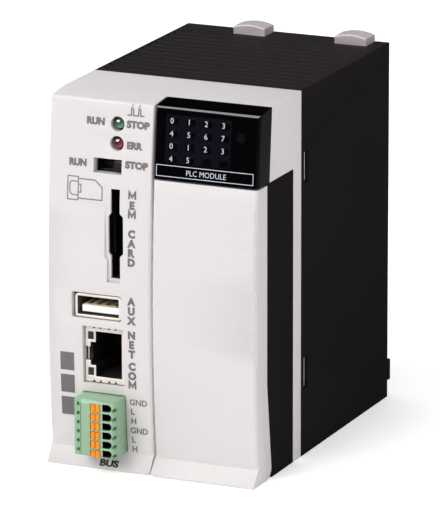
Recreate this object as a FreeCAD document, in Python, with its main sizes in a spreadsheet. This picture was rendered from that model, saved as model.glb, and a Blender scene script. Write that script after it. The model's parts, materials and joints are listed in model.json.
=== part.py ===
import FreeCAD, Part
import math
import os

import Sketcher
from FreeCAD import Placement, Rotation, Vector

# Rack-mounted logic controller, two rack slots wide.
#
# Every sub-part is drawn from one corner of the case: X runs from the case's left side, Y from the
# seam between the light front cover and the dark rear housing (front is negative), Z from the base.
# Each sub-part's Placement then moves it so that the whole object's footprint is centred on the
# origin and it stands on Z = 0.

CASE = {
    "case_width": 59.6,          # two 30 mm rack slots, less the running gap
    "case_height": 100.0,
    "case_depth": 61.5,          # seam to the face that meets the rack
    "front_reach": 37.4,         # seam to the foremost plug lever
    "hook_reach": 2.4,           # rack hooks behind the rear face
    "wall": 2.0,
    "front_wall": 2.6,
    "slack": 1.0,                # how far a cutter runs past the face it opens
    "soft_edge": 0.6,
}

FRONT_FACE = {
    "bulge": 30.1,               # seam to the crown of the bowed front
    "bulge_height": 44.0,
    "bulge_radius": 440.0,
    "lip_height": 4.6,
    "lip_reach": 31.0,
    "lip_edge": 0.6,
    "brow_height": 98.4,         # where the front turns over into the top
    "brow_radius": 1.1,
    "brow_front": 25.9,
    "brow_top": 99.2,
    "roof_front": 18.0,
    "panel_width": 29.6,
    "panel_corner": 1.2,
    "rim_depth": 5.2,
    "rim_opening_left": 30.6,
    "rim_opening_low": 2.0,
    "rim_opening_high": 79.8,
    "brow_low": 80.2,
    "brow_back_low": 20.9,
    "brow_back_high": 19.2,
    "brow_wall": 1.6,
}

REAR_HOUSING = {
    "base_thickness": 2.5,
    "roof_thickness": 3.0,
    "rear_edge": 0.8,
    "rib_first": 4.0,
    "rib_pitch": 4.1,
    "rib_count": 12,
    "groove_top": 1.9,
    "groove_floor": 1.1,
    "groove_depth": 1.0,
    "groove_end": 1.0,           # side wall left standing at the ends of a groove
    "snap_front": 2.0,
    "snap_back": 5.0,
    "snap_high_low": 74.4,
    "snap_high_top": 83.0,
    "snap_low_low": 18.0,
    "snap_low_top": 26.9,
    "snap_tongue": 1.4,
    "snap_root": 1.3,
    "snap_length": 6.0,
    "snap_fit": 0.3,
    "hook_low": 4.2,
    "hook_high": 10.0,
    "hook_inner": 7.4,
    "hook_claw": 1.2,
    "hook_width": 7.0,
    "hook_inset": 0.4,
    "bus_opening_left": 19.2,
    "bus_opening_right": 28.0,
    "bus_opening_low": 31.6,
    "bus_opening_high": 68.4,
}

LOCKS = {
    "lock_left": 16.5,
    "lock_pitch": 29.8,
    "lock_width": 9.2,
    "lock_front": 54.1,
    "lock_back": 60.5,
    "lock_cap_low": 99.6,
    "lock_shoulder": 102.0,
    "lock_crown_radius": 14.5,
    "lock_edge": 0.5,
    "lock_travel": 3.0,
    "well_floor": 96.0,
    "well_fit": 0.2,
    "stem_inset": 1.5,
    "stem_front": 55.2,
    "stem_back": 59.2,
    "stem_low": 84.0,
    "stem_fit": 0.3,
    "latch_inset": 2.7,
    "latch_low": 86.0,
    "latch_high": 91.0,
    "latch_nose": 1.0,
    "latch_slope": 2.0,
    "shelf_low": 76.0,
    "shelf_high": 78.0,
    "shelf_front": 54.6,
    "coil_radius": 1.55,
    "coil_wire": 0.28,
    "coil_turns": 6.0,
}

DOOR = {
    "door_left": 30.2,
    "door_high": 79.7,
    "door_wall": 1.6,
    "door_back": 22.4,
    "door_sweep_height": 26.0,
    "door_lip_reach": 31.6,
    "door_lip_height": 4.4,
    "door_corner": 1.2,
    "door_floor_back": 26.2,
    "door_edge": 1.1,
    "hinge_back": 22.6,
    "hinge_height": 3.0,
    "ear_radius": 3.0,
    "pin_radius": 1.0,
    "pin_depth": 1.0,
    "pin_running_gap": 0.05,
    "bracket_radius": 2.8,
    "bracket_gap": 0.3,
    "bracket_width": 1.8,
    "label_inset": 3.0,
    "label_low": 12.0,
    "label_high": 70.0,
    "label_thickness": 0.3,
}

TERMINALS = {
    "bay_left": 30.4,
    "bay_high": 79.9,
    "bay_wall": 1.6,
    "bay_gap": 0.25,
    "bay_floor": 8.0,
    "bay_boss_left": 31.0,
    "bay_boss_right": 57.2,
    "bay_boss_low": 2.4,
    "bay_boss_high": 79.4,
    "bay_boss_back": 1.5,
    "bay_window_left": 36.0,
    "bay_window_right": 54.0,
    "bay_window_low": 12.0,
    "bay_window_high": 73.0,
    "block_left": 33.2,
    "block_right": 56.8,
    "block_low": 6.8,
    "block_high": 77.2,
    "block_front": 24.4,
    "block_back": 8.2,
    "cell_low": 11.0,
    "cell_pitch": 7.0,
    "cell_rows": 9,
    "cell_depth": 4.6,
    "cell_barrier": 1.0,
    "cell_inner": 44.4,
    "cell_outer": 34.2,
    "screw_across": 39.3,
    "screw_radius": 2.5,
    "screw_head": 1.6,
    "screw_shank_radius": 1.45,
    "screw_length": 5.5,
    "screw_slot": 0.7,
    "screw_slot_depth": 0.8,
    "screw_slot_length": 7.5,
    "washer_side": 5.6,
    "washer_thickness": 0.9,
    "shank_hole_radius": 1.55,
    "fixing_radius": 1.5,
    "fixing_length": 7.0,
    "fixing_low": 9.0,
    "fixing_high": 75.5,
    "socket_side": 1.4,
    "socket_depth": 4.0,
    "pin_side": 1.0,
    "header_left": 36.4,
    "header_right": 53.6,
    "header_low": 12.4,
    "header_high": 72.6,
    "header_front": 7.8,
    "header_back": -0.3,
}

WINDOW = {
    "window_left": 30.0,
    "window_low": 80.25,
    "window_wall": 1.3,
    "window_roof": 98.0,
    "window_edge": 0.9,
    "guide_front": 25.0,
    "guide_back": 23.4,
    "guide_left": 31.6,
    "guide_right": 58.0,
    "guide_low": 81.9,
    "guide_high": 97.1,
    "pixel_left": 36.2,
    "pixel_pitch": 5.0,
    "pixel_columns": 4,
    "pixel_rows": 4,
    "pixel_width": 2.2,
    "pixel_height": 1.9,
    "pixel_low": 83.9,
    "pixel_rise": 3.5,
    "display_left": 32.0,
    "display_right": 57.2,
    "display_low": 83.0,
    "display_high": 96.4,
    "display_front": 20.4,
    "display_back": 18.8,
    "display_fit": 0.4,
    "emitter_length": 1.6,
    "emitter_height": 1.0,
    "emitter_thickness": 0.9,
}

LAMPS = {
    "lamp_across": 19.4,
    "lamp_run_height": 93.3,
    "lamp_fault_height": 88.2,
    "lamp_hole_radius": 2.0,
    "lamp_radius": 1.5,
    "lamp_flange_radius": 1.9,
    "lamp_flange": 1.0,
    "lamp_back": 22.9,
    "lamp_recess": 0.15,
}

SWITCH = {
    "switch_left": 12.9,
    "switch_right": 21.0,
    "switch_low": 80.0,
    "switch_high": 84.0,
    "switch_body_margin": 1.3,
    "switch_body_front": 25.0,
    "switch_body_back": 19.5,
    "switch_track": 0.4,
    "switch_track_floor": 22.4,
    "slider_width": 2.4,
    "slider_gap": 0.2,
    "slider_front": 27.7,
    "slider_play": 0.25,
}

CARD = {
    "card_left": 18.1,
    "card_right": 20.7,
    "card_low": 52.1,
    "card_high": 76.2,
    "grip_left": 17.4,
    "grip_right": 21.6,
    "grip_low": 58.1,
    "grip_high": 69.7,
    "grip_slope": 0.9,
    "scoop_left": 0.9,
    "scoop_right": 0.4,
    "scoop_ends": 1.0,
    "scoop_floor": 29.2,
    "card_shell": 0.5,
    "card_frame": 0.7,
    "card_frame_front": 28.35,
    "card_frame_back": 25.6,
    "card_frame_fit": 0.1,
    "card_front": 26.1,
    "card_back": -2.5,
    "card_contact_front": 8.0,
    "card_contact_width": 0.9,
    "card_contact_thickness": 0.3,
    "card_contact_pitch": 2.5,
    "card_contacts": 9,
    "card_contact_low": 53.7,
}

USB = {
    "usb_cut_left": 7.0,
    "usb_cut_right": 21.25,
    "usb_cut_low": 40.6,
    "usb_cut_high": 47.65,
    "usb_left": 7.9,
    "usb_right": 21.0,
    "usb_low": 40.9,
    "usb_high": 47.15,
    "usb_front": 29.6,
    "usb_back": 12.0,
    "usb_skin": 0.6,
    "usb_corner": 0.8,
    "tongue_left": 9.4,
    "tongue_right": 20.2,
    "tongue_low": 42.1,
    "tongue_high": 43.9,
    "tongue_front": 28.6,
    "tongue_root": 15.0,
    "usb_contact_left": 10.4,
    "usb_contact_pitch": 2.5,
    "usb_contact_width": 1.1,
    "usb_contact_front": 27.9,
    "usb_contact_back": 17.0,
    "usb_contact_thickness": 0.2,
    "usb_contact_count": 4,
    "usb_tab_width": 1.1,
    "usb_tab_left": 12.0,
    "usb_tab_pitch": 5.9,
    "usb_tab_count": 2,
    "usb_tab_top": 0.8,
    "usb_tab_front": 25.6,
    "usb_tab_back": 21.0,
}

NETWORK = {
    "net_cut_left": 10.0,
    "net_cut_right": 22.0,
    "net_cut_low": 22.9,
    "net_cut_high": 38.6,
    "net_left": 10.3,
    "net_right": 21.8,
    "net_low": 23.2,
    "net_high": 38.3,
    "net_front": 28.7,
    "net_back": 9.0,
    "net_skin": 0.4,
    "net_bay_left": 13.2,
    "net_bay_right": 20.8,
    "net_bay_low": 24.6,
    "net_bay_high": 37.0,
    "net_bay_back": 13.0,
    "net_notch_left": 11.7,
    "net_notch_low": 27.6,
    "net_notch_high": 34.0,
    "net_key_low": 28.9,
    "net_key_high": 32.7,
    "net_key_depth": 1.6,
    "net_lamp_left": 10.95,
    "net_lamp_right": 12.7,
    "net_lamp_height": 2.2,
    "net_lamp_low": 24.8,
    "net_lamp_high": 34.6,
    "net_lamp_back": 22.0,
    "net_contact_pitch": 1.02,
    "net_contact_count": 8,
    "net_contact_width": 0.45,
    "net_contact_low": 27.0,
    "net_contact_front": 25.0,
    "net_contact_back": 15.0,
    "net_contact_rise": 2.6,
    "net_contact_thickness": 0.35,
}

PLUG = {
    "plug_cut_left": 9.9,
    "plug_cut_right": 22.2,
    "plug_cut_low": 4.75,
    "plug_cut_high": 20.6,
    "plug_left": 10.25,
    "plug_right": 22.0,
    "plug_low": 4.9,
    "plug_high": 20.35,
    "plug_front": 37.0,
    "plug_back": 28.0,
    "strip_right": 12.3,
    "strip_front": 35.7,
    "plug_bevel": 0.3,
    "plug_line_left": 12.5,
    "plug_line_width": 0.2,
    "plug_line_floor": 36.6,
    "plug_taper": 0.7,
    "plug_taper_length": 1.4,
    "nose_left": 11.6,
    "nose_right": 20.6,
    "nose_low": 6.0,
    "nose_high": 19.2,
    "nose_back": 20.5,
    "pole_low": 6.35,
    "pole_pitch": 2.5,
    "pole_count": 6,
    "probe_across": 11.4,
    "probe_radius": 0.55,
    "probe_floor": 30.0,
    "lever_left": 15.3,
    "lever_right": 18.3,
    "lever_height": 2.1,
    "lever_drop": 0.2,
    "lever_fit": 0.1,
    "lever_back": 31.5,
    "lever_floor": 30.0,
    "lever_crease": 0.35,
    "wire_left": 18.9,
    "wire_right": 21.5,
    "wire_height": 1.9,
    "wire_floor": 29.0,
    "clamp_thickness": 0.4,
    "clamp_front": 33.0,
    "niche_across": 22.0,
    "niche_radius": 0.55,
    "niche_drop": 0.6,
    "niche_floor": 34.6,
    "pinhole_left": 15.4,
    "pinhole_side": 1.2,
    "pinhole_floor": 25.4,
    "post_side": 0.9,
    "post_front": 25.0,
    "socket_left": 10.4,
    "socket_right": 21.8,
    "socket_low": 4.95,
    "socket_high": 20.3,
    "socket_front": 25.3,
    "socket_back": 17.0,
    "socket_floor": 19.6,
    "socket_fit": 0.2,
}

BOARDS = {
    "board_thickness": 1.6,
    "cpu_left": 22.8,
    "cpu_front": 24.0,
    "board_back": 52.0,
    "cpu_low": 3.5,
    "cpu_high": 96.0,
    "io_left": 44.2,
    "io_front": 0.5,
    "io_low": 6.0,
    "io_high": 94.0,
    "link_front": 30.0,
    "link_back": 38.0,
    "link_low": 20.0,
    "link_high": 60.0,
    "chip_front": 4.0,
    "chip_side": 18.0,
    "chip_low": 66.0,
    "chip_height": 1.8,
    "small_chip_side": 8.0,
    "small_chip_depth": 11.0,
    "small_chip_pitch": 14.0,
    "small_chip_low": 8.0,
    "small_chip_count": 5,
    "magnetics_left": 16.5,
    "magnetics_front": 7.0,
    "magnetics_back": 6.0,
    "magnetics_low": 25.0,
    "magnetics_high": 37.0,
    "can_radius": 4.0,
    "can_height": 11.0,
    "can_back": 12.0,
    "can_low": 16.0,
    "can_pitch": 11.0,
    "can_count": 4,
    "battery_across": 22.0,
    "battery_height": 80.0,
    "battery_radius": 10.0,
    "battery_thickness": 3.2,
    "holder_side": 24.0,
    "holder_thickness": 4.6,
    "holder_gap": 0.15,
    "bus_left": 19.6,
    "bus_right": 27.6,
    "bus_low": 32.0,
    "bus_high": 68.0,
    "bus_front": 52.2,
    "bus_back": 63.4,
    "bus_slot_left": 21.6,
    "bus_slot_right": 25.6,
    "bus_slot_low": 34.0,
    "bus_slot_high": 66.0,
    "bus_slot_floor": 56.0,
    "bus_contact_pitch": 2.54,
    "bus_contact_count": 12,
    "bus_contact_low": 35.6,
    "bus_contact_width": 0.8,
    "bus_contact_thickness": 0.3,
    "bus_contact_back": 62.4,
}

GROUPS = (CASE, FRONT_FACE, REAR_HOUSING, LOCKS, DOOR, TERMINALS, WINDOW, LAMPS, SWITCH, CARD, USB,
          NETWORK, PLUG, BOARDS)

TOUCH = 0.05                     # lengths closer than this are taken as equal

ORIGIN_PLANES = {"XY": ("XY_Plane", 1), "XZ": ("XZ_Plane", -1), "YZ": ("YZ_Plane", 1)}


# ---- sizes: numbers that remember their sheet formula ---------------------------------------------

class Size:
    """A number in millimetres together with the sheet formula that gives it."""

    def __init__(self, value, formula):
        self.value = value
        self.formula = formula

    def __add__(self, other):
        other = as_size(other)
        return Size(self.value + other.value, "(%s + %s)" % (self.formula, other.formula))

    def __sub__(self, other):
        other = as_size(other)
        return Size(self.value - other.value, "(%s - %s)" % (self.formula, other.formula))

    def __mul__(self, other):
        other = as_size(other)
        return Size(self.value * other.value, "(%s * %s)" % (self.formula, other.formula))

    def __truediv__(self, other):
        other = as_size(other)
        return Size(self.value / other.value, "(%s / %s)" % (self.formula, other.formula))

    def __neg__(self):
        return Size(-self.value, "(-%s)" % self.formula)

    __radd__ = __add__


def as_size(number):
    """Turns a plain number into a Size, and leaves a Size as it is."""
    if isinstance(number, Size):
        return number
    return Size(float(number), "(%r)" % float(number))


def root(size):
    """The square root of a Size."""
    return Size(math.sqrt(size.value), "sqrt(%s)" % size.formula)


class Sheet:
    """The spreadsheet of driving dimensions; each one is read as an attribute."""

    def __init__(self, doc):
        self._object = doc.addObject("Spreadsheet::Sheet", "Sizes")
        self._values = {}
        row = 0
        for group in GROUPS:
            for name, value in group.items():
                row += 1
                self._object.set("A%d" % row, name)
                self._object.set("B%d" % row, str(value))
                self._object.setAlias("B%d" % row, name)
                self._values[name] = value

    def __getattr__(self, name):
        return Size(float(self._values[name]), "Sizes.%s" % name)


# ---- outlines -------------------------------------------------------------------------------------

def box(left, right, low, high):
    """Corners of an upright rectangle."""
    return [(left, low), (right, low), (right, high), (left, high)]


def rounded_box(left, right, low, high, corner):
    """Corners of a rectangle with round corners; a third value is the arc that leaves the corner."""
    return [
        (left + corner, low), (right - corner, low, corner),
        (right, low + corner), (right, high - corner, corner),
        (right - corner, high), (left + corner, high, corner),
        (left, high - corner), (left, low + corner, corner),
    ]


class Circle:
    """A full circle in a sketch."""

    def __init__(self, across, up, radius):
        self.across = as_size(across)
        self.up = as_size(up)
        self.radius = as_size(radius)


def bind(sketch, kind, where, size):
    """Adds one dimension to a sketch and ties it to its sheet formula."""
    index = sketch.addConstraint(Sketcher.Constraint(kind, *where, size.value))
    sketch.setExpression("Constraints[%d]" % index, size.formula)


def arc_centre(start, end, radius):
    """Centre of the arc from start to end, left of the way it travels if the radius is positive."""
    middle = (start + end) * 0.5
    chord = end - start
    reach = math.sqrt(max(radius * radius - chord.Length ** 2 / 4.0, 0.0))
    left = Vector(-chord.y, chord.x, 0).normalize()
    return middle + left * math.copysign(reach, radius)


def draw_arc(sketch, start, end, radius):
    """Adds one arc; returns its index and which of its ends is the start of travel."""
    centre = arc_centre(start, end, radius)
    circle = Part.Circle(centre, Vector(0, 0, 1), abs(radius))
    first, last = (start, end) if radius > 0 else (end, start)
    begin = math.atan2(first.y - centre.y, first.x - centre.x)
    finish = math.atan2(last.y - centre.y, last.x - centre.x)
    if finish < begin:
        finish += 2 * math.pi
    index = sketch.addGeometry(Part.ArcOfCircle(circle, begin, finish), False)
    return index, (1, 2) if radius > 0 else (2, 1)


def draw_path(sketch, path):
    """Draws a closed outline whose every corner is placed by sheet formulas."""
    corners = [tuple(as_size(number) for number in corner) for corner in path]
    points = [Vector(corner[0].value, corner[1].value, 0) for corner in corners]
    edges = []
    for number, corner in enumerate(corners):
        start = points[number]
        end = points[(number + 1) % len(points)]
        if len(corner) > 2:
            edges.append(draw_arc(sketch, start, end, corner[2].value))
        else:
            edges.append((sketch.addGeometry(Part.LineSegment(start, end), False), (1, 2)))
    for number, corner in enumerate(corners):
        edge, ends = edges[number]
        following, following_ends = edges[(number + 1) % len(edges)]
        join = Sketcher.Constraint("Coincident", edge, ends[1], following, following_ends[0])
        sketch.addConstraint(join)
        bind(sketch, "DistanceX", (-1, 1, edge, ends[0]), corner[0])
        bind(sketch, "DistanceY", (-1, 1, edge, ends[0]), corner[1])
        if len(corner) > 2:
            radius = corner[2] if corner[2].value > 0 else -corner[2]
            bind(sketch, "Radius", (edge,), radius)


def draw_circle(sketch, circle):
    """Draws a circle placed and sized by sheet formulas."""
    centre = Vector(circle.across.value, circle.up.value, 0)
    shape = Part.Circle(centre, Vector(0, 0, 1), circle.radius.value)
    index = sketch.addGeometry(shape, False)
    bind(sketch, "DistanceX", (-1, 1, index, 3), circle.across)
    bind(sketch, "DistanceY", (-1, 1, index, 3), circle.up)
    bind(sketch, "Radius", (index,), circle.radius)


# ---- bodies and features --------------------------------------------------------------------------

class Piece:
    """One sub-part of the controller: a PartDesign body built feature by feature."""

    def __init__(self, doc, sizes, label):
        self.body = doc.addObject("PartDesign::Body", label)
        self.body.Label = label
        self.sizes = sizes
        self.steps = 0
        seam = (sizes.front_reach - sizes.case_depth - sizes.hook_reach) / 2
        self.body.setExpression("Placement.Base.x", (-sizes.case_width / 2).formula)
        self.body.setExpression("Placement.Base.y", seam.formula)

    def _origin(self, role):
        features = self.body.Origin.OriginFeatures
        return [feature for feature in features if feature.Role == role][0]

    def _add(self, kind):
        self.steps += 1
        return self.body.newObject(kind, "%s_step_%d" % (self.body.Name, self.steps))

    def sketch(self, plane, position, outlines, rise=None):
        """A sketch at a distance along the plane's own axis, with its outlines drawn in it."""
        role, sense = ORIGIN_PLANES[plane]
        sketch = self._add("Sketcher::SketchObject")
        sketch.AttachmentSupport = [(self._origin(role), "")]
        sketch.MapMode = "FlatFace"
        sketch.setExpression("AttachmentOffset.Base.z", (as_size(position) * sense).formula)
        if rise is not None:
            sketch.setExpression("AttachmentOffset.Base.y", rise.formula)
        for outline in outlines:
            if isinstance(outline, Circle):
                draw_circle(sketch, outline)
            else:
                draw_path(sketch, outline)
        return sketch

    def pad(self, plane, start, end, *outlines):
        """Adds material between two places along the plane's axis."""
        start = as_size(start)
        end = as_size(end)
        sketch = self.sketch(plane, end if plane == "XZ" else start, outlines)
        feature = self._add("PartDesign::Pad")
        feature.Profile = sketch
        feature.setExpression("Length", (end - start).formula)
        return feature

    def cut(self, plane, start, end, *outlines):
        """Takes material away between two places along the plane's axis."""
        start = as_size(start)
        end = as_size(end)
        sketch = self.sketch(plane, start if plane == "XZ" else end, outlines)
        feature = self._add("PartDesign::Pocket")
        feature.Profile = sketch
        feature.setExpression("Length", (end - start).formula)
        return feature

    def turn(self, plane, position, rise, outline):
        """Spins an outline about the sketch's horizontal axis."""
        sketch = self.sketch(plane, position, [outline], rise)
        feature = self._add("PartDesign::Revolution")
        feature.Profile = sketch
        feature.ReferenceAxis = (sketch, ["H_Axis"])
        feature.Angle = 360.0
        return feature

    def repeat(self, feature, axis, pitch, count):
        """Repeats a feature along an axis at a fixed pitch."""
        pattern = self._add("PartDesign::LinearPattern")
        pattern.Originals = [feature]
        pattern.Direction = (self._origin(axis + "_Axis"), [""])
        pattern.setExpression("Length", (pitch * (count - 1)).formula)
        pattern.setExpression("Occurrences", count.formula)
        self.body.Tip = pattern
        return pattern

    def round_edges(self, radius, wanted):
        """Rounds the edges of the solid so far whose middle point passes the test."""
        self.body.Document.recompute()
        base = self.body.Tip
        names = []
        for number, edge in enumerate(base.Shape.Edges, 1):
            middle = edge.valueAt((edge.FirstParameter + edge.LastParameter) / 2)
            if wanted(middle, edge):
                names.append("Edge%d" % number)
        feature = self._add("PartDesign::Fillet")
        feature.Base = (base, names)
        feature.setExpression("Radius", radius.formula)
        return feature


def near(first, second):
    """Whether two lengths agree."""
    return abs(first - second) < TOUCH


def bowed(edge):
    """Whether an edge follows the long bow of the front."""
    return isinstance(edge.Curve, Part.Circle) and edge.Curve.Radius > edge.Length


# ---- the front: cover, lamps, ports ---------------------------------------------------------------

def front_at(sizes, height, inset=0.0):
    """Place of the bowed front face, or of a surface inset behind it, at a height."""
    centre = sizes.bulge_radius - sizes.bulge
    radius = sizes.bulge_radius - inset
    drop = as_size(height) - sizes.bulge_height
    return centre - root(radius * radius - drop * drop)


def panel_profile(s):
    """Side outline of the left half: flared lip, bowed front, turned brow and sloping roof."""
    return [
        (0, 0), (0, s.case_height), (-s.roof_front, s.case_height),
        (-s.brow_front, s.brow_top, s.brow_radius),
        (front_at(s, s.brow_height), s.brow_height, s.bulge_radius),
        (front_at(s, s.lip_height), s.lip_height),
        (-s.lip_reach, s.lip_edge), (-s.lip_reach, 0),
    ]


def panel_hollow(s):
    """Side outline of the space behind the left half of the cover."""
    low = s.lip_height
    high = s.brow_top - s.front_wall
    return [
        (s.slack, s.wall), (s.slack, s.case_height - s.wall),
        (-s.roof_front, s.case_height - s.wall),
        (front_at(s, high, s.front_wall), high, s.bulge_radius - s.front_wall),
        (front_at(s, low, s.front_wall), low),
        (front_at(s, low, s.front_wall), s.wall),
    ]


def brow_profile(s):
    """Side outline of the block above the door, behind the display window."""
    return [
        (0, s.brow_low), (0, s.case_height), (-s.roof_front, s.case_height),
        (-s.brow_back_high, slope_height(s, s.brow_back_high)),
        (-s.brow_back_low, s.brow_low),
    ]


def slope_height(s, reach):
    """Height of the sloping roof at a distance in front of the seam."""
    fall = (s.case_height - s.brow_top) / (s.brow_front - s.roof_front)
    return s.case_height - (as_size(reach) - s.roof_front) * fall


def card_outline(s, left, right, ends):
    """Stepped outline of the card mouth: a narrow slot with a wider finger grip halfway."""
    narrow_left = s.card_left - left
    narrow_right = s.card_right + right
    wide_left = s.grip_left - left
    wide_right = s.grip_right + right
    slope = s.grip_slope
    return [
        (narrow_left, s.card_low - ends), (narrow_right, s.card_low - ends),
        (narrow_right, s.grip_low - ends), (wide_right, s.grip_low + slope - ends),
        (wide_right, s.grip_high - slope + ends), (narrow_right, s.grip_high + ends),
        (narrow_right, s.card_high + ends), (narrow_left, s.card_high + ends),
        (narrow_left, s.grip_high + ends), (wide_left, s.grip_high - slope + ends),
        (wide_left, s.grip_low + slope - ends), (narrow_left, s.grip_low - ends),
    ]


def port_cutouts(s):
    """Openings through the left half of the cover, seen from the front."""
    return [
        Circle(s.lamp_across, s.lamp_run_height, s.lamp_hole_radius),
        Circle(s.lamp_across, s.lamp_fault_height, s.lamp_hole_radius),
        box(s.switch_left, s.switch_right, s.switch_low, s.switch_high),
        card_outline(s, 0, 0, 0),
        rounded_box(s.usb_cut_left, s.usb_cut_right, s.usb_cut_low, s.usb_cut_high, s.soft_edge),
        box(s.net_cut_left, s.net_cut_right, s.net_cut_low, s.net_cut_high),
        box(s.plug_cut_left, s.plug_cut_right, s.plug_cut_low, s.plug_cut_high),
    ]


def snap_tongues(piece, s):
    """Four spring tongues that click into the side slots of the rear housing."""
    inner_left = s.wall + s.snap_fit
    inner_right = s.case_width - inner_left
    reach = s.wall / 2
    bump = (s.snap_front + s.snap_fit, s.snap_back - s.snap_fit)
    for slot_low, slot_high in ((s.snap_low_low, s.snap_low_top),
                                (s.snap_high_low, s.snap_high_top)):
        low = slot_low + s.snap_fit
        high = slot_high - s.snap_fit
        tongue_left = box(inner_left, inner_left + s.snap_tongue, low, high)
        tongue_right = box(inner_right - s.snap_tongue, inner_right, low, high)
        root_left = box(reach, inner_left + s.snap_tongue, low, high)
        root_right = box(inner_right - s.snap_tongue, s.case_width - reach, low, high)
        piece.pad("XZ", -s.snap_root, 0, root_left, root_right)
        piece.pad("XZ", -s.snap_root, s.snap_length, tongue_left, tongue_right)
        piece.pad("YZ", s.wall - reach, inner_left, box(*bump, low, high))
        piece.pad("YZ", inner_right, s.case_width - s.wall + reach, box(*bump, low, high))


def front_cover(doc, s):
    """Light front cover: bowed left panel, brow above the door and a rim round the terminal bay."""
    piece = Piece(doc, s, "front_cover")
    piece.pad("XZ", -s.rim_depth, 0, box(0, s.case_width, 0, s.case_height))
    piece.pad("YZ", 0, s.panel_width, panel_profile(s))
    piece.pad("YZ", s.panel_width - s.wall, s.case_width, brow_profile(s))
    panel_width = s.panel_width.value
    piece.round_edges(s.soft_edge, lambda middle, edge: bowed(edge))
    piece.round_edges(s.panel_corner, lambda middle, edge: near(middle.x, panel_width)
                      and near(middle.z, 0) and middle.y < -s.rim_depth.value)
    piece.cut("YZ", s.wall, s.panel_width - s.wall, panel_hollow(s))
    brow_front = s.brow_back_high - s.brow_wall
    piece.cut("YZ", s.panel_width, s.case_width - s.wall,
              box(-brow_front, s.slack, s.brow_low + s.brow_wall, s.case_height - s.wall))
    piece.cut("XZ", -s.rim_depth - s.slack, s.slack,
              box(s.rim_opening_left, s.case_width - s.wall, s.rim_opening_low, s.rim_opening_high))
    piece.cut("XZ", -s.brow_back_low - s.slack, -brow_front + s.slack,
              box(s.display_left - s.display_fit, s.display_right + s.display_fit,
                  s.display_low - s.display_fit, s.display_high + s.display_fit))
    piece.cut("XZ", -s.lip_reach - s.slack, -s.scoop_floor,
              card_outline(s, s.scoop_left, s.scoop_right, s.scoop_ends))
    piece.cut("XZ", -s.lip_reach - s.slack, -s.roof_front, *port_cutouts(s))
    room = s.card_frame + s.card_frame_fit
    piece.cut("XZ", -s.card_frame_front - s.card_frame_fit, -s.roof_front,
              card_outline(s, room, room, room))
    snap_tongues(piece, s)
    return piece


def lamp(doc, s, label, height):
    """A domed indicator lens on a flange, recessed in its hole."""
    piece = Piece(doc, s, label)
    tip = front_at(s, height) + s.lamp_recess
    base = tip + s.lamp_radius
    flange = -s.lamp_back - s.lamp_flange
    piece.turn("YZ", s.lamp_across, height, [
        (-s.lamp_back, 0), (-s.lamp_back, s.lamp_flange_radius),
        (flange, s.lamp_flange_radius), (flange, s.lamp_radius),
        (base, s.lamp_radius, s.lamp_radius), (tip, 0),
    ])
    return piece


def mode_switch_body(doc, s):
    """Slide switch case with the track that its slider runs in."""
    piece = Piece(doc, s, "mode_switch_body")
    margin = s.switch_body_margin
    piece.pad("XZ", -s.switch_body_front, -s.switch_body_back,
              box(s.switch_left - margin, s.switch_right + margin,
                  s.switch_low - margin, s.switch_high + margin))
    track = s.switch_track
    piece.cut("XZ", -s.switch_body_front - s.slack, -s.switch_track_floor,
              box(s.switch_left, s.switch_right, s.switch_low + track, s.switch_high - track))
    return piece


def mode_switch_slider(doc, s):
    """Finger nub of the mode switch, at its stop end."""
    piece = Piece(doc, s, "mode_switch_slider")
    right = s.switch_right - s.slider_gap
    inset = s.switch_track + s.slider_play
    piece.pad("XZ", -s.slider_front, -s.switch_track_floor - s.slider_play,
              box(right - s.slider_width, right, s.switch_low + inset, s.switch_high - inset))
    return piece


def card_socket(doc, s):
    """Shell that takes the memory card, with the dark frame that lines its mouth."""
    piece = Piece(doc, s, "card_socket")
    skin = s.card_shell
    piece.pad("XZ", -s.card_front, -s.card_back,
              box(s.card_left - skin, s.card_right + skin, s.card_low - skin, s.card_high + skin))
    frame = s.card_frame
    piece.pad("XZ", -s.card_frame_front, -s.card_frame_back, card_outline(s, frame, frame, frame))
    piece.cut("XZ", -s.card_frame_front - s.slack, -s.card_front, card_outline(s, 0, 0, 0))
    piece.cut("XZ", -s.card_front - s.slack, -s.card_back - skin,
              box(s.card_left, s.card_right, s.card_low, s.card_high))
    return piece


def card_contacts(doc, s):
    """Row of contact fingers on the inner wall of the card socket."""
    piece = Piece(doc, s, "card_contacts")
    finger = piece.pad("XZ", -s.card_contact_front, -s.card_back - s.card_shell,
                       box(s.card_right - s.card_contact_thickness, s.card_right,
                           s.card_contact_low, s.card_contact_low + s.card_contact_width))
    piece.repeat(finger, "Z", s.card_contact_pitch, s.card_contacts)
    return piece


def usb_shell(doc, s):
    """Rolled metal shell of the flat serial port, with two spring tabs in its floor."""
    piece = Piece(doc, s, "usb_shell")
    skin = s.usb_skin
    piece.pad("XZ", -s.usb_front, -s.usb_back,
              rounded_box(s.usb_left, s.usb_right, s.usb_low, s.usb_high, s.usb_corner))
    piece.cut("XZ", -s.usb_front - s.slack, -s.usb_back - skin,
              rounded_box(s.usb_left + skin, s.usb_right - skin, s.usb_low + skin,
                          s.usb_high - skin, s.usb_corner - skin))
    tab = piece.pad("XZ", -s.usb_tab_front, -s.usb_tab_back,
                    box(s.usb_tab_left, s.usb_tab_left + s.usb_tab_width,
                        s.usb_low + skin / 2, s.usb_low + s.usb_tab_top))
    piece.repeat(tab, "X", s.usb_tab_pitch, s.usb_tab_count)
    return piece


def usb_tongue(doc, s):
    """White insulator: the tongue and the block that closes the port behind it."""
    piece = Piece(doc, s, "usb_tongue")
    piece.pad("XZ", -s.tongue_front, -s.tongue_root,
              box(s.tongue_left, s.tongue_right, s.tongue_low, s.tongue_high))
    skin = s.usb_skin
    piece.pad("XZ", -s.tongue_root, -s.usb_back - skin,
              rounded_box(s.usb_left + skin, s.usb_right - skin, s.usb_low + skin,
                          s.usb_high - skin, s.usb_corner - skin))
    return piece


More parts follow.
